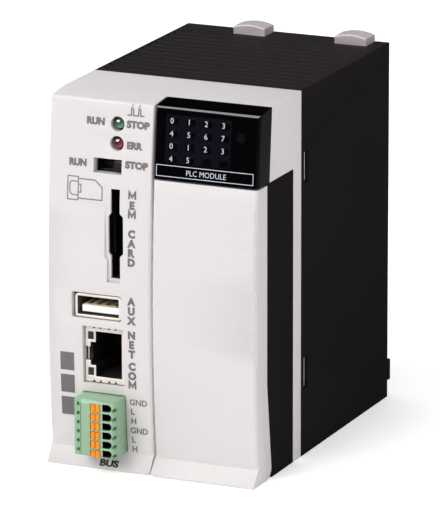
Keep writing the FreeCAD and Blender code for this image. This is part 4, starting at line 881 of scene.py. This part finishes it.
class Print:
    """Ink on a face: letters, lines and blocks drawn flat, then laid on the face.

    Drawing is in millimetres, across and up the face, from the case's corner or, on a face
    seen from behind, from the right-hand corner going left.
    """

    PROUD = 0.02            # millimetres that ink stands off its face
    SUNK = 0.02             # millimetres that it reaches below it
    STEP = 0.8              # the longest straight stretch of a line
    SHARPEST = 0.4          # the least that a corner's mitre is divided by
    CAPITAL = 0.729         # height of a capital as a share of the type size
    REACH = 0.2             # metres in front of the face that rays start from

    def __init__(self, node: str, facing_back: bool = False) -> None:
        """Takes the CAD node whose face is printed, and which way the face looks.

        Args:
            node: The node.
            facing_back: Whether the face looks to the case's rear.
        """
        work = welded(node)
        self.surface = BVHTree.FromBMesh(work)
        work.free()
        self.right = -RIGHT if facing_back else RIGHT
        self.out = BACK if facing_back else -BACK
        self.work = bmesh.new()

    def _take(self, part: bmesh.types.BMesh) -> None:
        """Moves a part into the print.

        Args:
            part: The part, which is freed.
        """
        spare = bpy.data.meshes.new("part")
        part.to_mesh(spare)
        part.free()
        self.work.from_mesh(spare)
        bpy.data.meshes.remove(spare)

    def word(self, text: str, place: Point, height: float, width: float = 0.0,
             anchor: Anchor = Anchor.LEFT, weight: float = 0.012) -> None:
        """Draws a word.

        Args:
            text: The word.
            place: Where its foot stands.
            height: The height of a capital.
            width: The width of the whole word; its natural width at 0.
            anchor: Which part of the word stands at its place.
            weight: How much its strokes are thickened, as a share of the type size.
        """
        curve = bpy.data.curves.new("letters", "FONT")
        curve.body = text
        curve.offset = weight
        curve.extrude = 0.5
        curve.resolution_u = 3
        holder = bpy.data.objects.new("letters", curve)
        bpy.context.scene.collection.objects.link(holder)
        flat = plain(holder, "letters")
        part = bmesh.new()
        part.from_mesh(flat)
        bpy.data.objects.remove(holder)
        bpy.data.meshes.remove(flat)
        bmesh.ops.remove_doubles(part, verts=part.verts, dist=0.0001)
        low = min(v.co.x for v in part.verts)
        high = max(v.co.x for v in part.verts)
        up_scale = height / self.CAPITAL
        across_scale = width / (high - low) if width else up_scale
        shift = (high - low) * anchor.value + low
        for vert in part.verts:
            x, y, z = vert.co
            vert.co = ((x - shift) * across_scale + place[0], y * up_scale + place[1], z)
        self._take(part)

    def column(self, text: str, across: float, top: float, pitch: float, height: float) -> None:
        """Draws upright letters one below another, with their middles at one place across.

        Args:
            text: The letters; a space leaves a gap.
            across: Where their middles are.
            top: The middle of the first letter's height.
            pitch: From one letter to the next.
            height: The height of a capital.
        """
        for number, letter in enumerate(text):
            foot = top - pitch * number - height / 2
            if letter == "M":
                half, head, dip, stroke = height * 0.44, foot + height, foot + height * 0.3, height * 0.27
                self.line([(across - half, foot), (across - half, head), (across, dip),
                           (across + half, head), (across + half, foot)], stroke)
            elif letter != " ":
                self.word(letter, (across, foot), height, anchor=Anchor.MIDDLE, weight=0.07)

    def line(self, path: Sequence[Point], width: float, closed: bool = False) -> None:
        """Draws a line of even width with mitred corners.

        Args:
            path: The corners it goes through.
            width: Its width.
            closed: Whether it goes back to its first corner.
        """
        part = bmesh.new()
        path = self.stepped(path, closed)
        count = len(path)
        rings = []
        for i in range(count):
            here = Vector(path[i])
            before = Vector(path[i - 1]) if closed or i else None
            after = Vector(path[(i + 1) % count]) if closed or i < count - 1 else None
            ways = [(here - before).normalized()] if before is not None else []
            ways += [(after - here).normalized()] if after is not None else []
            sides = [Vector((-way.y, way.x)) for way in ways]
            side = sum(sides, Vector((0, 0))).normalized()
            side *= width / 2 / max(side.dot(sides[0]), self.SHARPEST)
            rings.append([part.verts.new((*(here + side * s), z))
                          for s, z in ((1, 0.5), (-1, 0.5), (-1, -0.5), (1, -0.5))])
        for i in range(count if closed else count - 1):
            band(part, rings[i], rings[(i + 1) % count])
        if not closed:
            part.faces.new(rings[0][::-1])
            part.faces.new(rings[-1])
        bmesh.ops.recalc_face_normals(part, faces=part.faces)
        self._take(part)

    def stepped(self, path: Sequence[Point], closed: bool) -> list[Point]:
        """Adds places along a line, so that it can follow a bowed face.

        Args:
            path: The corners it goes through.
            closed: Whether it goes back to its first corner.

        Returns:
            The corners and the places between them.
        """
        ends = list(path[1:]) + ([path[0]] if closed else [])
        steps: list[Point] = []
        for (x, y), (far_x, far_y) in zip(path, ends):
            count = max(1, round(math.hypot(far_x - x, far_y - y) / self.STEP))
            steps += [(x + (far_x - x) * i / count, y + (far_y - y) * i / count) for i in range(count)]
        return steps if closed else steps + [path[-1]]

    def area(self, left: float, right: float, low: float, high: float) -> None:
        """Draws a filled rectangle."""
        middle = (left + right) / 2
        self.line([(middle, low), (middle, high)], right - left)

    def disc(self, middle: Point, radius: float, count: int = 20) -> None:
        """Draws a filled round spot.

        Args:
            middle: Its middle.
            radius: Its radius.
            count: How many corners it has.
        """
        turn = 2 * math.pi / count
        x, y = middle
        self.line([(x + radius / 2 * math.cos(turn * i), y + radius / 2 * math.sin(turn * i))
                   for i in range(count)], radius * 0.98, closed=True)

    def piece(self, name: str, body: str, slot: str, finish: Finish, proud: float = PROUD) -> None:
        """Lays the drawing on the face and adds it to the object.

        Args:
            name: The piece's name.
            body: The body it rides on.
            slot: The record's slot; not used.
            finish: The ink.
            proud: Millimetres that the ink stands off the face.
        """
        for vert in self.work.verts:
            across, up, side = vert.co
            place = CASE.corner + self.right * across * MM + UP * up * MM
            start = place + self.out * self.REACH
            hit = self.surface.ray_cast(start, -self.out)[0]
            if hit is None:
                hit = self.surface.find_nearest(place)[0]
            rise = proud if side > 0 else -self.SUNK
            vert.co = Vector((place.x, hit.y, place.z)) + self.out * rise * MM
        mesh = as_mesh(self.work, name)
        mesh.set_sharp_from_angle(angle=SHARP_ANGLE)
        add_piece(name, mesh, body, finish)


# ---- sub-assemblies -------------------------------------------------------------------------

@dataclass
class FrontCover:
    """Light front shell: its legends, its card sign and its two lamps."""

    edge: float = 0.14
    dome_height: float = 1.45
    type_height: float = 1.8
    column_across: float = 24.25
    column_height: float = 2.0
    terminal_names: Sequence[str] = ("GND", "L", "H", "GND", "L", "H")

    def build(self) -> None:
        """Builds the shell, the lamps and everything printed on the shell."""
        skin("front_cover", self.edge)
        for node in ("run_lamp", "fault_lamp"):
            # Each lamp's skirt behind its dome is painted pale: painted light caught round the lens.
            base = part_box(node)[0].y + self.dome_height * MM
            part_finish(skin(node, 0), LAMP_SKIRT_PAINTED_LIGHT, lambda face: face.center.y > base)
        self.print_words()
        self.print_signs()
        self.print_terminals()

    def print_words(self) -> None:
        """Prints the names beside the lamps, the switch and the ports."""
        legend = Print("front_cover")
        high = self.type_height
        for text, place, wide in (
                ("RUN", (10.6, 92.75), 5.15), ("STOP", (22.0, 92.7), 6.6), ("ERR", (22.3, 87.2), 4.5),
                ("RUN", (5.95, 81.5), 5.0), ("STOP", (21.95, 82.1), 6.6)):
            legend.word(text, place, high, wide, weight=0.07)
        for text, top, pitch in (("MEM CARD", 74.95, 2.54), ("AUX", 46.65, 2.6), ("NET", 37.5, 2.6),
                                 ("COM", 28.95, 2.6)):
            legend.column(text, self.column_across, top, pitch, self.column_height)
        legend.piece("front_legends", "case", "light_case", LEGEND_INK)
        name = Print("front_cover")
        name.word("BUS", (17.7, 1.0), 1.5, 5.4, Anchor.MIDDLE, 0.05)
        name.piece("plug_legend", "case", "light_case", DARK_INK)

    def print_signs(self) -> None:
        """Prints the pulse sign, the card sign and three plain slot blocks."""
        sign = Print("front_cover")
        low, high, stroke, trace = 95.95, 98.6, 0.3, 0.38
        sign.line([(22.1, low), (23.2, low), (23.3, high), (23.75, high), (23.85, low), (25.25, low),
                   (25.35, high), (25.8, high), (25.9, low), (27.0, low)], trace)
        sign.line([(5.7, 72.3), (8.7, 72.3), (8.7, 78.5), (5.7, 78.5)], stroke, closed=True)
        sign.line([(8.8, 78.0), (13.5, 78.0), (15.6, 76.2), (15.6, 72.8), (8.8, 72.8)], stroke)
        sign.line([(8.6, 77.2), (6.8, 77.2), (6.3, 76.7), (6.3, 74.6), (6.6, 73.9), (7.2, 73.6),
                   (8.6, 73.6)], stroke)
        sign.line([(8.8, 76.5), (9.5, 76.5), (9.5, 74.4), (8.8, 74.4)], stroke)
        sign.piece("front_signs", "case", "light_case", FINE_INK)
        slots = Print("front_cover")
        left, side, first, step, gap = 3.5, 4.0, 13.4, 6.2, 1.2
        for number in range(3):
            low = first + step * number
            slots.area(left, left + side, low, low + step - gap)
        slots.piece("slot_blocks", "case", "light_case", LEGEND_INK)

    def print_terminals(self) -> None:
        """Prints the plug's terminal names beside it."""
        names = Print("front_cover")
        for number, text in enumerate(self.terminal_names):
            names.word(text, (23.3 if len(text) > 1 else 23.6, 18.25 - 2.62 * number), 1.65, weight=0.03)
        names.piece("terminal_legends", "case", "light_case", FINE_INK)


@dataclass
class StatusWindow:
    """Smoked window, what is printed on it, and the lights behind it."""

    edge: float = 0.6
    first_digit: Point = (34.85, 94.95)
    digit_step: Point = (4.84, 3.29)
    digit_height: float = 1.5
    digits: Sequence[str] = ("0123", "4567", "0123", "45")
    plate: tuple[float, float, float, float] = (30.9, 58.2, 81.05, 83.95)
    mask: tuple[float, float, float, float] = (33.2, 51.6, 84.6, 97.2)
    spot: Point = (54.3, 93.0)
    spot_radius: float = 1.25
    cell: tuple[float, float, float] = (2.5, 0.012, 1.9)
    film: float = 0.006

    def build(self) -> None:
        """Builds the window and the lights."""
        skin("led_window", self.edge, 5)
        skins(("window_light_guide", 0.08), ("display_board", 0.05))
        self.add_emitters()
        self.print_mask()
        self.print_digits()

    def add_emitters(self) -> None:
        """Sets the emitters out on the display board."""
        low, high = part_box("channel_emitters")
        size = Vector((1.6, 0.9, 1.0)) * MM
        finish = SLOT_FINISHES["emitter"]
        chip = block(size, 0.12, "emitter")
        mesh = copies("emitters", chip, low + size / 2, (4, RIGHT * (high.x - low.x - size.x) / 3),
                      (4, UP * (high.z - low.z - size.z) / 3), finish)
        add_piece("emitter_grid", mesh, "case", finish, ["channel_emitters"])

    def print_mask(self) -> None:
        """Prints the mask and its clear cells, which only just show through the smoked front."""
        mask = Print("led_window")
        mask.area(*self.mask)
        mask.disc(self.spot, self.spot_radius)
        mask.piece("light_mask", "case", "smoked_window", MASK_FILM, self.film)
        cell = block(Vector(self.cell) * MM, 0.003, "cell")
        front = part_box("led_window")[0].y
        across, up = self.digit_step
        start = CASE.at(self.first_digit[0] + 0.5, 0, self.first_digit[1] + 0.65 - up * 3)
        start.y = front
        mesh = copies("cells", cell, start, (4, RIGHT * across * MM), (4, UP * up * MM), CELL_FILM)
        self.lay(mesh)
        add_piece("light_cells", mesh, "case", CELL_FILM)

    def lay(self, mesh: bpy.types.Mesh) -> None:
        """Moves each point of a mesh back on to the bowed front of the window.

        Args:
            mesh: The mesh, made on the window's foremost plane.
        """
        work = welded("led_window")
        surface = BVHTree.FromBMesh(work)
        work.free()
        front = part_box("led_window")[0].y
        for vert in mesh.vertices:
            hit = surface.ray_cast(Vector((vert.co.x, -Print.REACH, vert.co.z)), BACK)[0]
            vert.co.y = hit.y + (vert.co.y - front) - self.film * MM

    def print_digits(self) -> None:
        """Prints the channel numbers and the outlined name plate."""
        ink = Print("led_window")
        for row, line in enumerate(self.digits):
            for column, digit in enumerate(line):
                place = (self.first_digit[0] + self.digit_step[0] * column,
                         self.first_digit[1] - self.digit_step[1] * row)
                ink.word(digit, place, self.digit_height, anchor=Anchor.MIDDLE, weight=0.0)
        left, right, low, high = self.plate
        ink.line([(left, low), (right, low), (right, high), (left, high)], 0.18, closed=True)
        ink.word("PLC MODULE", ((left + right) / 2 + 0.45, low + 0.68), 1.5, 11.2, Anchor.MIDDLE, 0.0)
        ink.piece("window_print", "case", "smoked_window", WHITE_INK)


@dataclass
class TerminalDoor:
    """Drop-down door, its moulded mark drawn in painted shade, its hinge pins and the card behind it."""

    edge: float = 0.12

    def build(self) -> None:
        """Builds the door and what it carries."""
        skins(("terminal_door", self.edge), ("door_hinge_pins", 0.1), ("door_label", 0.04))
        # The moulded mark's grooves are drawn as thin lines of painted shade.
        mark = Print("terminal_door")
        mark.line([(43.9, 3.9), (43.15, 3.1), (43.1, 2.4), (43.65, 0.75)], 0.2)
        mark.line([(47.8, 3.9), (45.75, 0.75)], 0.2)
        mark.piece("door_mark", "door", "light_case", GROOVE_PAINTED_SHADE)
        self.print_card()

    def print_card(self) -> None:
        """Prints the wiring card inside the door: a ruled row and a number for each terminal."""
        card = Print("door_label", facing_back=True)
        left, right, low, pitch = -53.0, -36.8, 14.5, 5.9
        middle = (left + right) / 2
        for row in range(10):
            card.line([(left, low + pitch * row), (right, low + pitch * row)], 0.14)
        for across in (left, middle, right):
            card.line([(across, low), (across, low + pitch * 9)], 0.14)
        for row in range(9):
            for column in range(2):
                number = 18 - (row * 2 + 1 - column)
                card.word(str(number), (left + 1.6 + (middle - left) * column, low + pitch * row + 2.0),
                          1.8, anchor=Anchor.MIDDLE, weight=0.0)
        card.piece("card_print", "door", "label_paper", DARK_INK, 0.012)


@dataclass
class TerminalBay:
    """Dark tray behind the door with its removable screw terminals."""

    columns: tuple[float, float] = (39.3, 50.7)
    first_row: float = 14.0
    row_pitch: float = 7.0
    rows: int = 9
    head_radius: float = 2.5
    head_front: float = -22.3
    seat: float = -20.7

    def build(self) -> None:
        """Builds the tray, the block and its screws."""
        skins(("terminal_bay", 0.12), ("terminal_block", 0.14), ("terminal_header", 0.1),
              ("terminal_header_pins", 0.08))
        self.add_screws()
        self.add_washers()
        self.add_fixings()

    def grid(self, name: str, mesh: bpy.types.Mesh, behind: float, spread: float) -> bpy.types.Mesh:
        """Sets a mesh out, one copy to a terminal.

        Args:
            name: The result's name.
            mesh: What is copied.
            behind: Its place behind the seam.
            spread: The most that a copy turns, in radians.

        Returns:
            All the copies as one mesh.
        """
        step = RIGHT * (self.columns[1] - self.columns[0]) * MM
        return copies(name, mesh, CASE.at(self.columns[0], behind, self.first_row), (2, step),
                      (self.rows, UP * self.row_pitch * MM), SLOT_FINISHES["plated_screw"], spread)

    def add_screws(self) -> None:
        """Makes the clamping screws, each left at its own turn."""
        head = screw_mesh(self.head_radius, self.seat - self.head_front, 1.45, 5.5, "clamp_screw")
        mesh = self.grid("clamp_screws", head, self.seat, 0.9)
        add_piece("clamp_screw_set", mesh, "case", SLOT_FINISHES["plated_screw"],
                  ["terminal_screws"])

    def add_washers(self) -> None:
        """Makes the square pressure plates, each with a round hole."""
        side, hole, thick = 5.6, 1.55, 0.9
        work = bmesh.new()
        count = 32
        near = []
        for i in range(count):
            angle = 2 * math.pi * (i + 0.5) / count
            way = Vector((math.cos(angle), 0, math.sin(angle)))
            reach = side / 2 / max(abs(way.x), abs(way.z))
            near.append([work.verts.new((way * r + BACK * y) * MM)
                         for r, y in ((hole, 0), (reach, 0), (reach, thick), (hole, thick))])
        for i in range(count):
            band(work, near[i], near[(i + 1) % count])
        bmesh.ops.recalc_face_normals(work, faces=work.faces)
        plate = softened(as_mesh(work, "clamp_plate"), 0.12)
        mesh = self.grid("clamp_plates", plate, self.seat, 0.06)
        add_piece("clamp_plate_set", mesh, "case", SLOT_FINISHES["plated_screw"],
                  ["terminal_washers"])

    def add_fixings(self) -> None:
        """Makes the two screws that hold the block."""
        low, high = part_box("block_fixing_screws")
        radius, height, shank = 1.5, 1.6, 1.2
        head = screw_mesh(radius, height, shank, high.y / MM - low.y / MM - height, "fixing_screw")
        start = CASE.at(45.0, 0, 9.0)
        start.y = low.y + height * MM
        finish = SLOT_FINISHES["plated_screw"]
        mesh = copies("fixing_screws", head, start, (1, RIGHT * MM), (2, UP * 66.5 * MM), finish, 0.6)
        add_piece("fixing_screw_pair", mesh, "case", finish, ["block_fixing_screws"])


def screw_mesh(radius: float, head: float, shank: float, length: float, name: str) -> bpy.types.Mesh:
    """Makes a slotted screw that points along the case's depth, its seat at the origin.

    Args:
        radius: The head's radius, in millimetres.
        head: The head's height.
        shank: The shank's radius.
        length: The shank's length.
        name: The mesh's name.

    Returns:
        The screw, with a domed head, a slot and thread turns.
    """
    slot_half, slot_depth, steps = 0.35, 0.8, 40
    pitch, first_turn, thread = 0.5, 0.3, 0.18
    profile = [(radius - 0.35, -head), (radius - 0.1, -head + 0.15), (radius, -head + 0.4), (radius, 0.0),
               (shank, 0.0)]
    for i in range(int(length / pitch)):
        base = first_turn + i * pitch
        profile += [(shank - thread, base), (shank, base + pitch / 2)]
    profile.append((shank - 0.3, length))
    work = bmesh.new()
    rings = []
    for reach, behind in profile:
        rings.append([work.verts.new(Vector((math.cos(a) * reach, behind, math.sin(a) * reach)) * MM)
                      for a in (2 * math.pi * i / steps for i in range(steps))])
    for one, two in zip(rings, rings[1:]):
        band(work, one, two)
    work.faces.new(rings[-1])
    face = work.faces.new(rings[0][::-1])
    for offset in (slot_half, -slot_half):
        geometry = [face] + list(face.edges) + list(face.verts) if offset > 0 else \
            work.verts[:] + work.edges[:] + work.faces[:]
        bmesh.ops.bisect_plane(work, geom=geometry, plane_co=UP * offset * MM, plane_no=UP)
    floor = [f for f in work.faces if abs(f.calc_center_median().y + head * MM) < 0.02 * MM
             and abs(f.calc_center_median().z) < slot_half * MM and f.normal.y < -0.9]
    cut = bmesh.ops.extrude_face_region(work, geom=floor)
    moved = [v for v in cut["geom"] if isinstance(v, bmesh.types.BMVert)]
    bmesh.ops.translate(work, verts=moved, vec=BACK * slot_depth * MM)
    bmesh.ops.delete(work, geom=floor, context="FACES_ONLY")
    bmesh.ops.recalc_face_normals(work, faces=work.faces)
    mesh = as_mesh(work, name)
    mesh.set_sharp_from_angle(angle=SHARP_ANGLE)
    return mesh


@dataclass
class FrontPorts:
    """Mode switch, card mouth, flat serial port and network socket."""

    tick: Vector = field(default_factory=lambda: Vector((0.6, 0.1, 0.5)))
    tick_across: float = 12.8
    tick_pair: float = 4.35
    tick_gap: float = 1.87
    tick_inset: float = 0.25
    tick_behind: float = 0.045
    strip: float = 1.1

    def build(self) -> None:
        """Builds the ports."""
        skins(("mode_switch_body", 0.06), ("mode_switch_slider", 0.2))
        skin("card_socket", 0.05, finish=SHADOW_GAP)
        skin("card_contacts", 0.05)
        self.add_serial_shell()
        skins(("usb_tongue", 0.12), ("network_shield", 0.06), ("network_insert", 0.06),
              ("network_contacts", 0.05), ("network_lamps", 0.1))
        self.add_serial_contacts()
        self.add_shield_ticks()

    def add_serial_shell(self) -> None:
        """Makes the serial port's shell, its inside faces painted darker as shade."""
        shell = skin("usb_shell", 0.07)
        low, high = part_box("usb_shell")
        middle = (low + high) / 2
        # Inside faces take painted shade.
        part_finish(shell, TIN_PAINTED_SHADE, lambda face: abs(face.normal.y) < 0.3
                    and face.normal.xz.dot((middle - face.center).xz) > 0)

    def add_serial_contacts(self) -> None:
        """Sets the gilt strips out on the tongue, each with a rounded tip."""
        low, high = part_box("usb_contacts")
        pitch = ((high.x - low.x) / MM - self.strip) / 3
        size = Vector((self.strip * MM, high.y - low.y, high.z - low.z))
        strip = block(size, 0.06, "contact_strip")
        finish = SLOT_FINISHES["gilt_contact"]
        mesh = copies("contact_strips", strip, low + size / 2, (4, RIGHT * pitch * MM), (1, UP * MM),
                      finish)
        add_piece("serial_contact_strips", mesh, "case", finish, ["usb_contacts"])

    def add_shield_ticks(self) -> None:
        """Sets out dark blocks of painted shade at the notches along the socket frame's top and bottom
        edges.
        """
        low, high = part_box("network_shield")
        # Each block is painted shade standing in for a notch's shadow.
        notch = block(self.tick * MM, 0.03, "notch")
        pairs, gap = (2, RIGHT * self.tick_pair * MM), (2, RIGHT * self.tick_gap * MM)
        edges = (("upper", high.z - self.tick_inset * MM), ("lower", low.z + self.tick_inset * MM))
        for name, height in edges:
            start = Vector((CASE.at(self.tick_across, 0, 0).x, low.y + self.tick_behind * MM, height))
            mesh = copies(name + "_notches", notch, start, pairs, gap, SHADOW_GAP)
            add_piece(name + "_frame_notches", mesh, "case", SHADOW_GAP)


@dataclass
class FieldPlug:
    """Green six-pole plug with its release levers, its wire clamps and its socket."""

    poles: int = 6
    entry_left: float = 18.8
    entry_right: float = 21.6
    mouth: float = 1.1
    rim: float = 0.3
    crest: float = 0.8
    steps: int = 7

    def build(self) -> None:
        """Builds the plug, its levers and what it slides on to."""
        self.add_body()
        skins(("plug_clamps", 0.05), ("plug_header", 0.1), ("plug_header_pins", 0.1))
        for number in range(1, self.poles + 1):
            self.add_lever(number)

    def add_body(self) -> None:
        """Makes the plug's body, whose wire entries take painted shade once past their mouths."""
        low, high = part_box("terminal_plug")
        left, right = CASE.at(self.entry_left, 0, 0).x, CASE.at(self.entry_right, 0, 0).x
        # Wire entries past their mouths: painted shade.
        part_finish(skin("terminal_plug", 0.1), SHADOW_GAP, lambda face: left < face.center.x < right
                    and face.center.y > low.y + self.mouth * MM
                    and low.z + self.rim * MM < face.center.z < high.z - self.rim * MM)

    def add_lever(self, number: int) -> None:
        """Makes one lever: two rounded ridges side by side with a crease between them.

        Args:
            number: The lever's number.
        """
        node = f"plug_lever_{number}"
        low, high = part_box(node)
        width, deep = high.x - low.x, self.crest * MM
        outline = [Vector((low.x, high.y, low.z))]
        for i in range(self.steps * 2 + 1):
            share = i / (self.steps * 2)
            ridge = abs(math.sin(2 * math.pi * share)) ** 0.6
            outline.append(Vector((low.x + width * share, low.y + deep * (1 - ridge), low.z)))
        outline.append(Vector((high.x, high.y, low.z)))
        mesh = softened(prism(outline, UP * (high.z - low.z), node + "_ridged"), 0.08)
        add_piece(node + "_ridged", mesh, f"lever_{number}",
                  SLOT_FINISHES["lever_orange"], [node])


class Side(Enum):
    """The two rack locks."""

    LEFT = "left"
    RIGHT = "right"


@dataclass
class RackLock:
    """Press-down rack lock: its cap with stem and latch, and the spring under it."""

    side: Side
    turns: float = 6.0
    coil_radius: float = 1.55
    wire_radius: float = 0.28

    def build(self) -> None:
        """Builds the cap and the spring."""
        skin(f"lock_button_{self.side.value}", 0.12, 3)
        node = f"lock_spring_{self.side.value}"
        low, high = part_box(node)
        wire = self.wire_radius * MM
        middle = (low + high) / 2
        finish = SLOT_FINISHES["pin_steel"]
        mesh = grown(node + "_coil", "coil", {
            "Start": Vector((middle.x, middle.y, low.z + wire)), "Turns": self.turns,
            "Coil Radius": self.coil_radius * MM, "Wire Radius": wire,
            "Height": high.z - low.z - 2 * wire, "Finish": finish.material()})
        spring = add_piece(node + "_coil", mesh, "case", finish, [node])
        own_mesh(spring)


@dataclass
class RearHousing:
    """Dark ribbed shell and the bus connector in its rear face."""

    edge: float = 0.1

    def build(self) -> None:
        """Builds the shell and the connector."""
        skins(("rear_housing", self.edge), ("bus_connector", 0.15), ("bus_contacts", 0.06))


@dataclass
class Electronics:
    """Boards and what they carry."""

    def build(self) -> None:
        """Builds the boards and their parts."""
        for node in ("cpu_board", "io_board"):
            skin(node, 0.05)
        for node in ("board_connector", "processor_chip", "board_chips", "network_transformer"):
            skin(node, 0.12)
        for node in ("battery_holder", "clock_battery", "board_capacitors"):
            skin(node, 0.2)


# ---- studio ---------------------------------------------------------------------------------

@dataclass(frozen=True)
class Lamp:
    """A soft light that looks at the module."""

    name: str
    place: tuple[float, float, float]
    width: float
    height: float
    power: float

    def build(self, target: Vector) -> None:
        """Makes the light and aims it.

        Args:
            target: The point it looks at.
        """
        light = bpy.data.lights.new(self.name, "AREA")
        light.shape = "RECTANGLE"
        light.size = self.width
        light.size_y = self.height
        light.energy = self.power
        holder = bpy.data.objects.new(self.name, light)
        holder.location = self.place
        way = target - Vector(self.place)
        holder.rotation_euler = way.to_track_quat("-Z", "Y").to_euler()
        bpy.context.scene.collection.objects.link(holder)


@dataclass
class Studio:
    """Pale floor, soft light and the camera."""

    azimuth: float = 23.89
    elevation: float = 15.25
    roll: float = -0.11
    aim: tuple[float, float, float] = (33.10, 47.92, 1483.91)
    lens: float = 391.3
    floor_side: float = 8.0
    floor_glow: float = 0.22
    sky: float = 0.74
    softbox: tuple[float, float, float] = (-0.39, -0.464, 0.794)
    lamps: tuple[Lamp, ...] = (
        Lamp("key_light", (-0.38, -1.25, 0.80), 0.6, 0.6, 5.5),
        Lamp("strip_light", (-0.60, -0.95, 1.10), 1.6, 0.18, 8.0),
        Lamp("top_light", (0.1, 0.35, 1.6), 0.8, 0.8, 4.0),
        Lamp("side_light", (1.35, -0.45, 0.5), 0.9, 0.9, 2.2),
    )

    def build(self) -> None:
        """Builds the studio round the module."""
        self.add_floor()
        self.add_sky()
        target = CASE.at(30.0, 10.0, 50.0)
        for lamp in self.lamps:
            lamp.build(target)
        self.add_camera()
        bpy.context.scene.view_settings.view_transform = "Standard"

    def add_floor(self) -> None:
        """Lays the floor, whose mirror image is kept out of glossy faces."""
        half = self.floor_side / 2
        work = bmesh.new()
        corners = ((-half, -half), (half, -half), (half, half), (-half, half))
        work.faces.new([work.verts.new((x, y, 0.0)) for x, y in corners])
        mesh = as_mesh(work, "floor")
        paper = Moulding("floor_paper", (253, 253, 253), 0.9, specular=0.05, drift=0.002, wear=1.0)
        material = paper.material()
        shader = material.node_tree.nodes["Principled BSDF"]
        shader.inputs["Emission Strength"].default_value = self.floor_glow
        mesh.materials.append(material)
        floor = bpy.data.objects.new("floor", mesh)
        floor.visible_glossy = False
        bpy.context.scene.collection.objects.link(floor)

    def add_sky(self) -> None:
        """Makes even light from all round, dark below the horizon where it is only mirrored."""
        world = bpy.data.worlds.new("studio_air")
        world.use_nodes = True
        net = NodeNet(world.node_tree)
        way = net.add("ShaderNodeTexCoord").outputs["Generated"]
        parts = net.add("ShaderNodeSeparateXYZ", {0: way})
        far_side = net.add("ShaderNodeMapRange", {0: parts.outputs[0], 1: -0.2, 2: 0.5, 3: 0.02, 4: 0.14})
        below = net.add("ShaderNodeMapRange", {0: parts.outputs[2], 1: -0.15, 2: 0.12, 3: 1.0, 4: 0.2})
        toward = net.add("ShaderNodeVectorMath", {0: way, 1: self.softbox}, operation="DOT_PRODUCT")
        overhead = net.add("ShaderNodeMapRange", {0: toward.outputs[1], 1: 0.78, 2: 0.86, 3: 0.0, 4: 8.0})
        horizon = net.math("MULTIPLY", far_side.outputs[0], below.outputs[0])
        mirrored = net.math("ADD", horizon, overhead.outputs[0])
        glossy = net.add("ShaderNodeLightPath").outputs["Is Glossy Ray"]
        strength = net.add("ShaderNodeMix", {0: glossy, 2: self.sky, 3: mirrored},
                           data_type="FLOAT").outputs[0]
        ground = world.node_tree.nodes["Background"]
        net.feed(ground, {0: (1.0, 1.0, 1.0, 1.0), 1: strength})
        world.cycles.sampling_method = "NONE"
        bpy.context.scene.world = world

    def add_camera(self) -> None:
        """Sets the camera up from its angles, its aim and its distance."""
        turn, rise = math.radians(self.azimuth), math.radians(self.elevation)
        back = Vector((math.sin(turn) * math.cos(rise), -math.cos(turn) * math.cos(rise), math.sin(rise)))
        right = Vector((math.cos(turn), math.sin(turn), 0.0))
        up = back.cross(right)
        spin = Matrix.Rotation(math.radians(self.roll), 3, back)
        right, up = spin @ right, spin @ up
        across, above, away = self.aim
        data = bpy.data.cameras.new("camera")
        data.lens = self.lens
        data.clip_end = 20.0
        camera = bpy.data.objects.new("camera", data)
        axes = Matrix((right, up, back)).transposed().to_4x4()
        place = CASE.corner + (right * across + up * above + back * away) * MM
        camera.matrix_world = Matrix.Translation(place) @ axes
        bpy.context.scene.collection.objects.link(camera)
        bpy.context.scene.camera = camera


def main() -> None:
    """Builds the module's looks and the studio, one sub-assembly after another."""
    logging.basicConfig(level=logging.INFO, format="%(message)s")
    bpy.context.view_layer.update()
    assemblies = (
        FrontCover(), StatusWindow(), TerminalDoor(), TerminalBay(), FrontPorts(), FieldPlug(),
        RackLock(Side.LEFT), RackLock(Side.RIGHT), RearHousing(), Electronics(), Studio(),
    )
    for assembly in assemblies:
        LOG.info("building %s", type(assembly).__name__)
        assembly.build()


if __name__ == "__main__":
    main()
